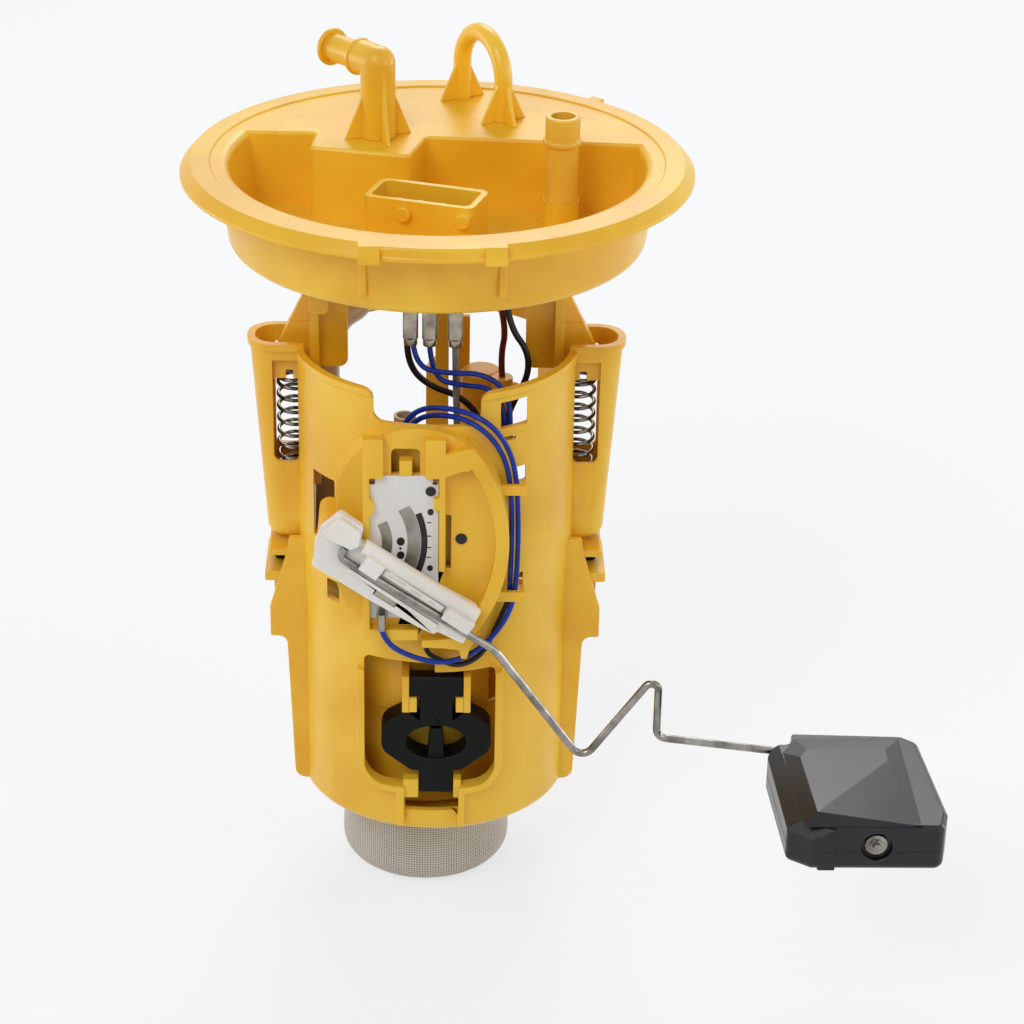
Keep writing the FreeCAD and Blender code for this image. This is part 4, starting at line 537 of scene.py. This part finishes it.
# Fuel pump: a drawn and zinc-plated steel can, rolled over a moulded cap at the electrical end and
# a moulded base with the inlet. It is pushed into the holder from below.
PUMP_EDGE_MM = 0.25
DRAWN_UPWARDS = (1.0, 1.0, 0.1)

zinc_can = metal("zinc_plated_steel", "#B9BAB9", "#8C8C8A", 0.3, 0.3, DRAWN_UPWARDS)
dark_nylon = acetal("glass_filled_nylon", "#2B2C2F", "#1F2023", 0.5, 0.0, 0.35)
for node, name, finish, slot in (("fuel_pump", "pump_can", zinc_can, "can"),
                                 ("pump_end_cap", "pump_cap", dark_nylon, "dark_moulding"),
                                 ("pump_base", "pump_foot", dark_nylon, "dark_moulding")):
    dress(softened(merged_copy(node, name), PUMP_EDGE_MM), finish, slot, "pot", node)


# Vent tube and power plug: a short open tube and the round plug that the brown lead ends in, both on
# the holder's lid. The tube is natural polyamide, the plug is acetal.
VENT_EDGE_MM = 0.15
PLUG_EDGE_MM = 0.2

tan_polyamide = acetal("natural_polyamide", "#D3C9B8", "#B9AB93", 0.3, 0.3)
vent = softened(merged_copy("vent_tube", "vent_pipe"), VENT_EDGE_MM)
dress(vent, tan_polyamide, "tan_plastic", "pot", "vent_tube")
plug = softened(merged_copy("power_plug", "lead_plug"), PLUG_EDGE_MM)
dress(plug, pot_acetal, "pot_moulding", "pot", "power_plug")


# Strainer frame: the neck through the pot's floor with its ring and cross bars, moulded in grey-beige
# polyamide. The mesh bag is welded round its skirt.
COLLAR_EDGE_MM = 0.2

frame_polyamide = acetal("grey_beige_polyamide", "#B9AF9E", "#A2967F", 0.4, 0.1)
collar = softened(merged_copy("strainer_collar", "strainer_neck"), COLLAR_EDGE_MM)
dress(collar, frame_polyamide, "strainer_frame", "pot", "strainer_collar")


# Strainer bag: a fine nylon cloth woven in a plain weave, deep-drawn to a cup and welded along one
# side and round the bottom. It shows single threads only close to, so they are drawn coarser.
BAG_THREAD_MM = 0.8
BAG_THREAD_RISE_MM = 0.2
BAG_RADIUS_MM = 24.9
BAG_TOP_MM = -190.3
BAG_LIP_MM = 1.0
BAG_SAG_MM = 0.25
BAG_BOTTOM_MM = -216.0
BAG_BOTTOM_RADII_MM = (15.0, 10.0, 5.0, 1.5)
BAG_CORNER_MM = 6.0
BAG_CORNER_STEPS = 8
BAG_STEPS = 96
BAG_SKIN_MM = 0.5
BAG_SMOOTH = 50
SOIL_PER_METRE = 90.0


def bag_profile():
    """Half section of the bag from its top edge to the middle of its bottom, as (radius, height)."""
    lip = BAG_TOP_MM - BAG_LIP_MM
    points = [(BAG_RADIUS_MM - BAG_SAG_MM, BAG_TOP_MM), (BAG_RADIUS_MM, lip)]
    for share in (0.25, 0.5, 0.75, 1.0):
        points.append((BAG_RADIUS_MM - BAG_SAG_MM * sin(pi * share),
                       lip + (BAG_BOTTOM_MM + BAG_CORNER_MM - lip) * share))
    for step in range(1, BAG_CORNER_STEPS + 1):
        angle = pi / 2 * step / BAG_CORNER_STEPS
        points.append((BAG_RADIUS_MM - BAG_CORNER_MM * (1 - cos(angle)),
                       BAG_BOTTOM_MM + BAG_CORNER_MM * (1 - sin(angle))))
    for radius in BAG_BOTTOM_RADII_MM:
        points.append((radius, BAG_BOTTOM_MM + BAG_SAG_MM * (1 - radius / BAG_RADIUS_MM)))
    return points


def woven_bag():
    """The bag's cloth, drawn down ring by ring from its top edge and mapped in millimetres of cloth."""
    section = bag_profile()
    bpy.ops.object.select_all(action="DESELECT")
    bpy.ops.mesh.primitive_circle_add(vertices=BAG_STEPS, radius=section[0][0] * MM, fill_type="NOTHING",
                                      location=(PUMP_AXIS_X_MM * MM, 0, BAG_TOP_MM * MM))
    piece = bpy.context.object
    piece.name = "strainer_bag"
    bpy.ops.object.mode_set(mode="EDIT")
    bpy.ops.mesh.select_all(action="SELECT")
    for (r0, z0), (r1, z1) in zip(section, section[1:]):
        bpy.ops.mesh.extrude_region_move(TRANSFORM_OT_translate={"value": (0, 0, (z1 - z0) * MM)})
        bpy.ops.transform.resize(value=(r1 / r0, r1 / r0, 1),
                                 center_override=(PUMP_AXIS_X_MM * MM, 0, z1 * MM))
    bpy.ops.mesh.edge_face_add()
    bpy.ops.mesh.select_all(action="SELECT")
    bpy.ops.mesh.normals_make_consistent(inside=False)
    bpy.ops.object.mode_set(mode="OBJECT")
    bpy.ops.object.transform_apply(location=True, rotation=True, scale=True)
    runs = [0.0]
    for (r0, z0), (r1, z1) in zip(section, section[1:]):
        runs.append(runs[-1] + Vector((r1 - r0, z1 - z0)).length)
    layer = piece.data.uv_layers.new(name="thread_map")
    for face in piece.data.polygons:
        middle = face.center / MM - Vector((PUMP_AXIS_X_MM, 0, 0))
        flat = middle.xy.length < BAG_RADIUS_MM - BAG_CORNER_MM
        for loop, vertex in zip(face.loop_indices, face.vertices):
            spot = piece.data.vertices[vertex].co / MM - Vector((PUMP_AXIS_X_MM, 0, 0))
            ring = min(range(len(section)), key=lambda row: abs(section[row][0] - spot.xy.length)
                       + abs(section[row][1] - spot.z))
            swing = spot.xy.angle_signed(middle.xy)
            around = BAG_RADIUS_MM * (atan2(middle.y, middle.x) + swing)
            layer.data[loop].uv = spot.xy if flat else (around, runs[ring])
    return piece


def plain_weave():
    """Threads over and under each other, from the bag's own map in millimetres, with painted shade where the
    weave lies low.
    """
    material, tree = blank_material("woven_nylon_monofilament")
    thread_map = add_node(tree, "UVMap", {}, uv_map="thread_map")
    count = add_node(tree, "Mapping", {"Vector": thread_map.outputs["UV"],
                                       "Scale": (1 / BAG_THREAD_MM, 1 / BAG_THREAD_MM, 1.0)})
    axes = add_node(tree, "SeparateXYZ", {"Vector": count.outputs["Vector"]})
    crowns = []
    for axis in ("X", "Y"):
        bow = add_node(tree, "Math", {0: axes.outputs[axis], 1: 1.0}, operation="PINGPONG")
        centred = add_node(tree, "Math", {0: bow.outputs[0], 1: pi}, operation="MULTIPLY")
        crowns.append(add_node(tree, "Math", {0: centred.outputs[0]}, operation="SINE"))
    over = add_node(tree, "TexChecker", {"Vector": count.outputs["Vector"], "Scale": 1.0})
    upper = add_node(tree, "Mix", {0: over.outputs["Fac"], 2: crowns[0].outputs[0], 3: crowns[1].outputs[0]},
                     data_type="FLOAT")
    either = add_node(tree, "Math", {0: crowns[0].outputs[0], 1: crowns[1].outputs[0]}, operation="MAXIMUM")
    lower = add_node(tree, "Math", {0: either.outputs[0], 1: 0.35}, operation="MULTIPLY")
    height = add_node(tree, "Math", {0: upper.outputs[0], 1: 0.65, 2: lower.outputs[0]},
                      operation="MULTIPLY_ADD")
    weave_shade_and_dirt = add_node(tree, "Math", {0: noise(tree, SOIL_PER_METRE, 3.0), 1: 0.3, 2: height.outputs[0]},
                      operation="MULTIPLY_ADD")
    # The tint is painted darker where the weave lies low: painted shade between the threads and in the open
    # meshes, with real dirt noise on top.
    tint = two_tone(tree, weave_shade_and_dirt.outputs[0], "#5B5142", "#D9D1C3", 0.35, 1.0)
    return surfaced(material, {"Base Color": tint, "Roughness": 0.45, "IOR": 1.53, "Specular IOR Level": 0.3,
                               "Normal": bump(tree, height.outputs[0], 1.0, BAG_THREAD_RISE_MM * MM)})


bag = woven_bag()
skin = bag.modifiers.new("cloth_thickness", "SOLIDIFY")
skin.thickness = BAG_SKIN_MM * MM
skin.offset = -1.0
take(bag)
bpy.ops.object.modifier_apply(modifier=skin.name)
bpy.ops.object.shade_smooth_by_angle(angle=radians(BAG_SMOOTH))
dress(bag, plain_weave(), "mesh", "pot", "strainer_mesh")


# Rubber mounts: three blocks that keep the pump's hum from the pot, one in the front pocket and one
# under each ear. They are moulded in nitrile rubber and pressed between the holder and the pot.
RUBBER_EDGE_MM = 0.4
RUBBER_GRAIN_MM = 0.3
RUBBER_GRAIN_DEPTH_MM = 0.03
BLOOM_PER_METRE = 130.0


def nitrile(name, light, dark, roughness, gloss=0.3):
    """Moulded rubber: near black, with a fine matt skin and faint bloom."""
    material, tree = blank_material(name)
    tint = two_tone(tree, noise(tree, BLOOM_PER_METRE, 5.0), dark, light, 0.35, 0.75)
    return surfaced(material, {"Base Color": tint, "Roughness": roughness, "IOR": 1.52,
                               "Specular IOR Level": gloss,
                               "Normal": moulding_grain(tree, RUBBER_GRAIN_MM, RUBBER_GRAIN_DEPTH_MM, 0.5)})


black_rubber = nitrile("moulded_nitrile_rubber", "#0C0D0E", "#060607", 0.42, 0.14)
for node, name in (("front_rubber_mount", "front_rubber"), ("right_rubber_mount", "right_rubber"),
                   ("left_rubber_mount", "left_rubber")):
    rubber = softened(merged_copy(node, name), RUBBER_EDGE_MM, 3)
    dress(rubber, black_rubber, "rubber", "pot", node)


# Sender frame: the moulded carrier of the level sender, with rails for the card, a guard round the
# lever's sweep and the lever's bearing. It clips on the front of the pot.
SENDER_EDGE_MM = 0.2

sender = softened(merged_copy("sender_frame", "sender_carrier"), SENDER_EDGE_MM)
dress(sender, pot_acetal, "pot_moulding", "pot", "sender_frame")


# Resistor card: a fired alumina plate with printed tracks of silver alloy and carbon. It is snapped
# out of a scored sheet and slides into the sender frame's rails; two of its corners are scorched.
CARD_EDGE_MM = 0.1
RIVET_EDGE_MM = 0.15
LUG_EDGE_MM = 0.08
CARD_FACE_MM = -44.0
INK_MM = 0.06
INK_TOP_SHARE = 0.94
# Each dot's x, z and radius; a dot is a little taller than wide
INK_DOTS = ((-9.5, -91.4, 1.15), (-9.5, -95.6, 1.1), (-1.4, -82.4, 0.9), (-1.5, -99.5, 0.85),
            (-9.6, -93.5, 0.35))
DOT_DIAMETERS = (2.0, 2.3)
INK_TICKS = ((-1.8, -85.6), (-1.8, -89.7), (-1.8, -93.2), (-1.8, -96.2))
TICK_SIZE_MM = (1.5, 0.35)
# Each corner's x, z and size
BURNT_CORNERS = ((-17.2, -73.6, 0.9), (-0.2, -73.7, 0.8))
BURNT_SHAPE = (2.0, 1.4)
BURNT_TURN = 0.4

alumina = acetal("fired_alumina", "#E9E8E5", "#DEDDDA", 0.42, 0.05, 0.35)
card = softened(merged_copy("resistor_card", "alumina_card"), CARD_EDGE_MM)
dress(card, alumina, "ceramic", "pot", "resistor_card")
silver_ink = metal("fired_silver_ink", "#A7A49C", "#85827A", 0.45, 0.2)
tracks = merged_copy("contact_tracks", "silver_tracks")
dress(tracks, silver_ink, "track_metal", "pot", "contact_tracks")
carbon_ink = nitrile("fired_carbon_ink", "#2A2826", "#1C1B1A", 0.55)
carbon = merged_copy("resistor_track", "carbon_track")
dress(carbon, carbon_ink, "carbon", "pot", "resistor_track")


def ink_mark(name, x, z, wide, high, sides, turn=0.0):
    """A small printed patch on the card's face, pulled to its width and height and raised."""
    middle = (x * MM, CARD_FACE_MM * MM, z * MM)
    bpy.ops.object.select_all(action="DESELECT")
    bpy.ops.mesh.primitive_circle_add(vertices=sides, radius=MM, fill_type="NGON", location=middle,
                                      rotation=(pi / 2, turn, 0))
    mark = bpy.context.object
    mark.name = name
    bpy.ops.object.transform_apply(location=True, rotation=True, scale=True)
    bpy.ops.object.mode_set(mode="EDIT")
    bpy.ops.mesh.select_all(action="SELECT")
    bpy.ops.transform.resize(value=(wide / 2, 1, high / 2), center_override=middle)
    bpy.ops.mesh.extrude_region_move(TRANSFORM_OT_translate={"value": (0, -INK_MM * MM, 0)})
    bpy.ops.transform.resize(value=(INK_TOP_SHARE, 1, INK_TOP_SHARE), center_override=middle)
    bpy.ops.mesh.select_all(action="SELECT")
    bpy.ops.mesh.normals_make_consistent(inside=False)
    bpy.ops.object.mode_set(mode="OBJECT")
    return mark


for index, (x, z, radius) in enumerate(INK_DOTS):
    dot = ink_mark("ink_dot_%d" % (index + 1), x, z, *(share * radius for share in DOT_DIAMETERS), 9)
    dress(dot, carbon_ink, "carbon", "pot")
for index, (x, z) in enumerate(INK_TICKS):
    tick = ink_mark("ink_tick_%d" % (index + 1), x, z, *TICK_SIZE_MM, 8)
    dress(tick, carbon_ink, "carbon", "pot")
burnt_acetal = acetal("scorched_acetal", "#6E3A10", "#54290A", 0.5, 0.0, 0.3)
for index, (x, z, size) in enumerate(BURNT_CORNERS):
    corner = ink_mark("scorched_corner_%d" % (index + 1), x, z, *(share * size for share in BURNT_SHAPE), 7,
                      BURNT_TURN)
    dress(corner, burnt_acetal, "pot_moulding", "pot")
rivets = softened(merged_copy("sender_rivets", "dark_rivets"), RIVET_EDGE_MM)
dress(rivets, carbon_ink, "carbon", "pot", "sender_rivets")
lug = softened(merged_copy("sender_terminal", "card_terminal"), LUG_EDGE_MM)
dress(lug, tinned_brass, "terminal_metal", "pot", "sender_terminal")


# Float lever: the white plate that turns on the sender frame's bearing, with a rib and two clips for
# the wire. It is moulded in natural acetal, milky and slightly see-through, and carries the wipers.
LEVER_EDGE_MM = 0.12
WIPER_EDGE_MM = 0.05

milky_acetal = acetal("milky_natural_acetal", "#F0EDE7", "#E4E0D8", 0.34, 0.25, 0.4)
lever = softened(merged_copy("float_lever", "float_lever_moulding"), LEVER_EDGE_MM)
dress(lever, milky_acetal, "white_moulding", "sender_arm", "float_lever")
spring_bronze = metal("silver_plated_contact", "#BDB6A6", "#8E8676", 0.3, 0.2)
wiper = softened(merged_copy("wiper_contacts", "wiper_spring"), WIPER_EDGE_MM)
dress(wiper, spring_bronze, "track_metal", "sender_arm", "wiper_contacts")


# Float wire: stainless steel wire, drawn and bent in one plane, hooked into the lever and turned
# forward at its end as the float's axle. A push-on nut keeps the float on it.
WIRE_EDGE_MM = 0.15
PUSH_NUT_EDGE_MM = 0.1

bright_wire = metal("drawn_stainless_wire", "#A29E98", "#6A6660", 0.2, 0.2)
wire = softened(merged_copy("float_wire", "float_arm_wire"), WIRE_EDGE_MM)
dress(wire, bright_wire, "steel", "sender_arm", "float_wire")
push_nut = softened(merged_copy("lock_washer", "push_nut"), PUSH_NUT_EDGE_MM)
dress(push_nut, bright_wire, "steel", "sender_arm", "lock_washer")


# Float: two halves of foamed hard rubber, welded at the parting line and ground, with facets on top
# that shed dirt. It turns freely on the wire's end.
FLOAT_DECK_MM = -149.75
FLOAT_TABLE_MM = -146.8
FLOAT_ROOT_MM = 0.2
FLOAT_MIDDLE = (115.5, -71.5)
FLOAT_SIZE = (45.0, 49.6)
FLOAT_EDGE_MM = 0.25
FLOAT_SMOOTH = 7
FLOAT_FACETS = (((125.0, -66.1, -146.8), (102.5, -92.8, -146.8), (131.6, -94.1, -149.9)),
                ((125.0, -66.1, -146.8), (131.6, -94.1, -149.9), (134.5, -62.0, -150.2)),
                ((103.1, -60.6, -146.8), (125.0, -60.4, -146.8), (107.2, -50.1, -149.7)),
                ((100.9, -64.6, -146.8), (102.5, -92.8, -146.8), (97.5, -68.2, -149.8)),
                ((100.9, -64.6, -146.8), (103.1, -60.6, -146.8), (99.0, -53.0, -149.9)),
                ((125.0, -60.4, -146.8), (125.0, -66.1, -146.8), (130.5, -55.0, -149.8)),
                ((102.5, -92.8, -146.8), (99.5, -95.4, -149.7), (131.6, -95.0, -149.7)))
FLOAT_LEFT_FACETS = (((97.3, -62.0, -149.6), (100.0, -92.6, -149.6), (92.2, -75.0, -153.8)),
                     ((98.6, -90.0, -149.6), (107.0, -96.4, -150.2), (95.2, -92.6, -154.5)))


def faceted(piece, facets):
    """Grinds flat facets on a piece, each through three points, and closes the piece again."""
    take(piece)
    bpy.ops.object.mode_set(mode="EDIT")
    for first, second, third in facets:
        start = Vector(first) * MM
        across = (Vector(second) * MM - start).cross(Vector(third) * MM - start)
        outwards = across.normalized() if across.z > 0 else -across.normalized()
        bpy.ops.mesh.select_all(action="SELECT")
        bpy.ops.mesh.bisect(plane_co=start, plane_no=outwards, use_fill=True, clear_outer=True)
    bpy.ops.object.mode_set(mode="OBJECT")
    return piece


hard_rubber = nitrile("foamed_hard_rubber", "#1A1B1E", "#101113", 0.27, 0.36)
for node, name in (("float_upper_half", "float_top"), ("float_lower_half", "float_bottom")):
    half = merged_copy(node, name)
    if node == "float_upper_half":
        deck = ((0.0, 0.0, FLOAT_DECK_MM), (1.0, 0.0, FLOAT_DECK_MM), (0.0, 1.0, FLOAT_DECK_MM))
        faceted(half, (deck,) + FLOAT_LEFT_FACETS)
        root = FLOAT_DECK_MM - FLOAT_ROOT_MM
        table = pulled_block("float_table", (*FLOAT_MIDDLE, (FLOAT_TABLE_MM + root) / 2),
                             (*FLOAT_SIZE, FLOAT_TABLE_MM - root))
        faceted(table, FLOAT_FACETS)
        take(half)
        weld = half.modifiers.new("table_weld", "BOOLEAN")
        weld.operation = "UNION"
        weld.object = table
        bpy.ops.object.modifier_apply(modifier=weld.name)
        bpy.data.objects.remove(table)
    half = softened(half, FLOAT_EDGE_MM, 3, smooth=FLOAT_SMOOTH)
    dress(half, hard_rubber, "float_plastic", "float", node)


# Hose: a preformed polyamide tube from the flange's outlet to the pump's outlet. It is bent hot on a
# former and pushed over both spigots.
HOSE_MM = 7.0
LEAD_SMOOTH = 50
HOSE_ROUTE = ((-16.7, 18.4, -12.0), (-16.7, 18.4, -45.0), (-31.6, 9.6, -50.0), (-30.6, 8.8, -80.0),
              (-31.6, 9.6, -108.0), (-31.6, 9.6, -124.0))


def lead_line(name, route, diameter):
    """A round lead on the smooth line of its route."""
    data = bpy.data.curves.new(name, "CURVE")
    data.dimensions = "3D"
    data.bevel_depth = diameter / 2 * MM
    data.bevel_resolution = 6
    data.resolution_u = 16
    data.use_fill_caps = True
    line = data.splines.new("NURBS")
    line.points.add(len(route) - 1)
    for point, (x, y, z) in zip(line.points, route):
        point.co = (x * MM, y * MM, z * MM, 1.0)
    line.order_u = 3
    line.use_endpoint_u = True
    piece = bpy.data.objects.new(name, data)
    bpy.context.scene.collection.objects.link(piece)
    return piece


def stretched(piece):
    """A lead between the flange and the pot, made into a mesh and shaded smooth in place."""
    take(piece)
    bpy.ops.object.convert(target="MESH")
    bpy.ops.object.shade_smooth_by_angle(angle=radians(LEAD_SMOOTH))
    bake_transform(bpy.context.object)


hose = lead_line("hose", HOSE_ROUTE, HOSE_MM)
dress(hose, tan_polyamide, "tan_plastic", None, "fuel_hose")
stretched(hose)


# Leads: stranded copper in cross-linked insulation. Two thin blue leads run from the sender over the
# pot's edge to the socket, and thicker black, brown and grey ones feed the pump.
THIN_MM = 1.5
THICK_MM = 1.8
SLEEVE_GRAIN_MM = 0.2
SLEEVE_GRAIN_DEPTH_MM = 0.01
SLEEVE_BLOOM_PER_METRE = 300.0
BLUE_A_UPPER = ((-6.4, -18.2, -44.35), (-5.5, -19.0, -50.8), (3.7, -23.5, -50.3), (12.5, -27.5, -48.4),
                (19.5, -30.2, -52.5), (20.4, -30.0, -64.0), (20.4, -30.0, -95.0))
BLUE_B_UPPER = ((-1.95, -18.5, -44.35), (-1.2, -18.8, -54.0), (7.0, -22.6, -54.2), (14.0, -27.2, -52.6),
                (18.2, -29.6, -56.5), (18.6, -30.0, -66.0), (18.6, -30.0, -95.0))
BLUE_A_LOWER = ((20.4, -30.0, -95.0), (19.5, -30.2, -103.0), (8.0, -33.5, -108.0), (-6.0, -32.5, -98.0),
                (-11.0, -28.0, -80.0), (-10.5, -27.5, -66.0), (-4.9, -28.0, -58.3), (5.5, -36.0, -55.2),
                (13.4, -41.3, -56.2), (18.9, -40.3, -63.0), (22.0, -36.9, -74.0), (22.9, -36.5, -93.0),
                (22.3, -36.9, -111.5), (19.2, -39.2, -119.5), (11.5, -41.4, -127.5), (2.3, -42.5, -130.5),
                (-6.9, -44.5, -127.0), (-13.6, -46.8, -121.5), (-14.7, -47.1, -117.2))
BLUE_B_LOWER = ((18.6, -30.0, -95.0), (17.8, -30.6, -101.0), (8.0, -33.0, -105.0), (-4.8, -31.5, -96.5),
                (-9.1, -27.3, -80.0), (-8.7, -26.8, -67.5), (-4.4, -28.6, -60.4), (5.5, -36.2, -57.2),
                (12.3, -41.1, -58.6), (17.3, -40.0, -65.0), (20.3, -36.9, -75.0), (21.2, -36.5, -93.0),
                (20.6, -36.0, -113.0))
BLACK_END = ((20.6, -36.0, -113.0), (17.2, -36.6, -121.5), (13.5, -38.6, -129.5), (7.0, -39.9, -132.8),
             (1.2, -40.6, -130.2), (-2.5, -41.4, -127.3), (-2.6, -42.9, -123.9))
BLACK_PUMP = ((-8.1, -17.8, -44.35), (-7.9, -17.0, -50.5), (-2.5, -15.5, -57.5), (8.0, -14.5, -61.5),
              (14.0, -13.0, -72.0), (14.5, -12.0, -92.0))
BLACK_SIDE = ((19.5, -5.0, -38.35), (20.5, -6.5, -44.0), (25.3, -8.0, -50.0), (25.6, -8.5, -57.5),
              (21.0, -9.0, -66.0), (17.5, -9.0, -78.0), (17.0, -9.0, -92.0))
BROWN = ((17.7, -4.8, -38.35), (19.3, -3.0, -46.0), (17.9, -1.8, -54.0), (18.4, -2.0, -60.5))
GREY = ((5.05, -19.0, -44.35), (5.5, -18.6, -68.0), (6.5, -16.0, -92.0))


def insulation(name, light, dark):
    """Extruded insulation: glossy, with a faint bloom along it."""
    material, tree = blank_material(name)
    tint = two_tone(tree, noise(tree, SLEEVE_BLOOM_PER_METRE, 3.0), dark, light, 0.3, 0.7)
    return surfaced(material, {"Base Color": tint, "Roughness": 0.32, "IOR": 1.5, "Specular IOR Level": 0.3,
                               "Normal": moulding_grain(tree, SLEEVE_GRAIN_MM, SLEEVE_GRAIN_DEPTH_MM, 0.3)})


blue_sleeve = insulation("blue_crosslinked_insulation", "#0538B4", "#04267E")
black_sleeve = insulation("black_crosslinked_insulation", "#191A1D", "#0F1012")
brown_sleeve = insulation("brown_crosslinked_insulation", "#7A2E1C", "#5A1E12")
grey_sleeve = insulation("grey_crosslinked_insulation", "#8E8C88", "#72706C")

for node, route, diameter, sleeve, slot in (
        ("blue_lead_a_lower", BLUE_A_LOWER, THIN_MM, blue_sleeve, "blue_lead"),
        ("blue_lead_b_lower", BLUE_B_LOWER, THIN_MM, blue_sleeve, "blue_lead"),
        ("black_lead_end", BLACK_END, THIN_MM, black_sleeve, "black_lead")):
    lead = lead_line(node.replace("lead", "wire"), route, diameter)
    dress(lead, sleeve, slot, "pot", node)

for node, route, diameter, sleeve, slot in (
        ("blue_lead_a_upper", BLUE_A_UPPER, THIN_MM, blue_sleeve, "blue_lead"),
        ("blue_lead_b_upper", BLUE_B_UPPER, THIN_MM, blue_sleeve, "blue_lead"),
        ("black_pump_lead", BLACK_PUMP, THICK_MM, black_sleeve, "black_lead"),
        ("black_side_lead", BLACK_SIDE, THICK_MM, black_sleeve, "black_lead"),
        ("brown_lead", BROWN, THICK_MM, brown_sleeve, "brown_lead"),
        ("grey_lead", GREY, THICK_MM, grey_sleeve, "grey_lead")):
    lead = lead_line(node.replace("lead", "wire"), route, diameter)
    dress(lead, sleeve, slot, None, node)
    stretched(lead)
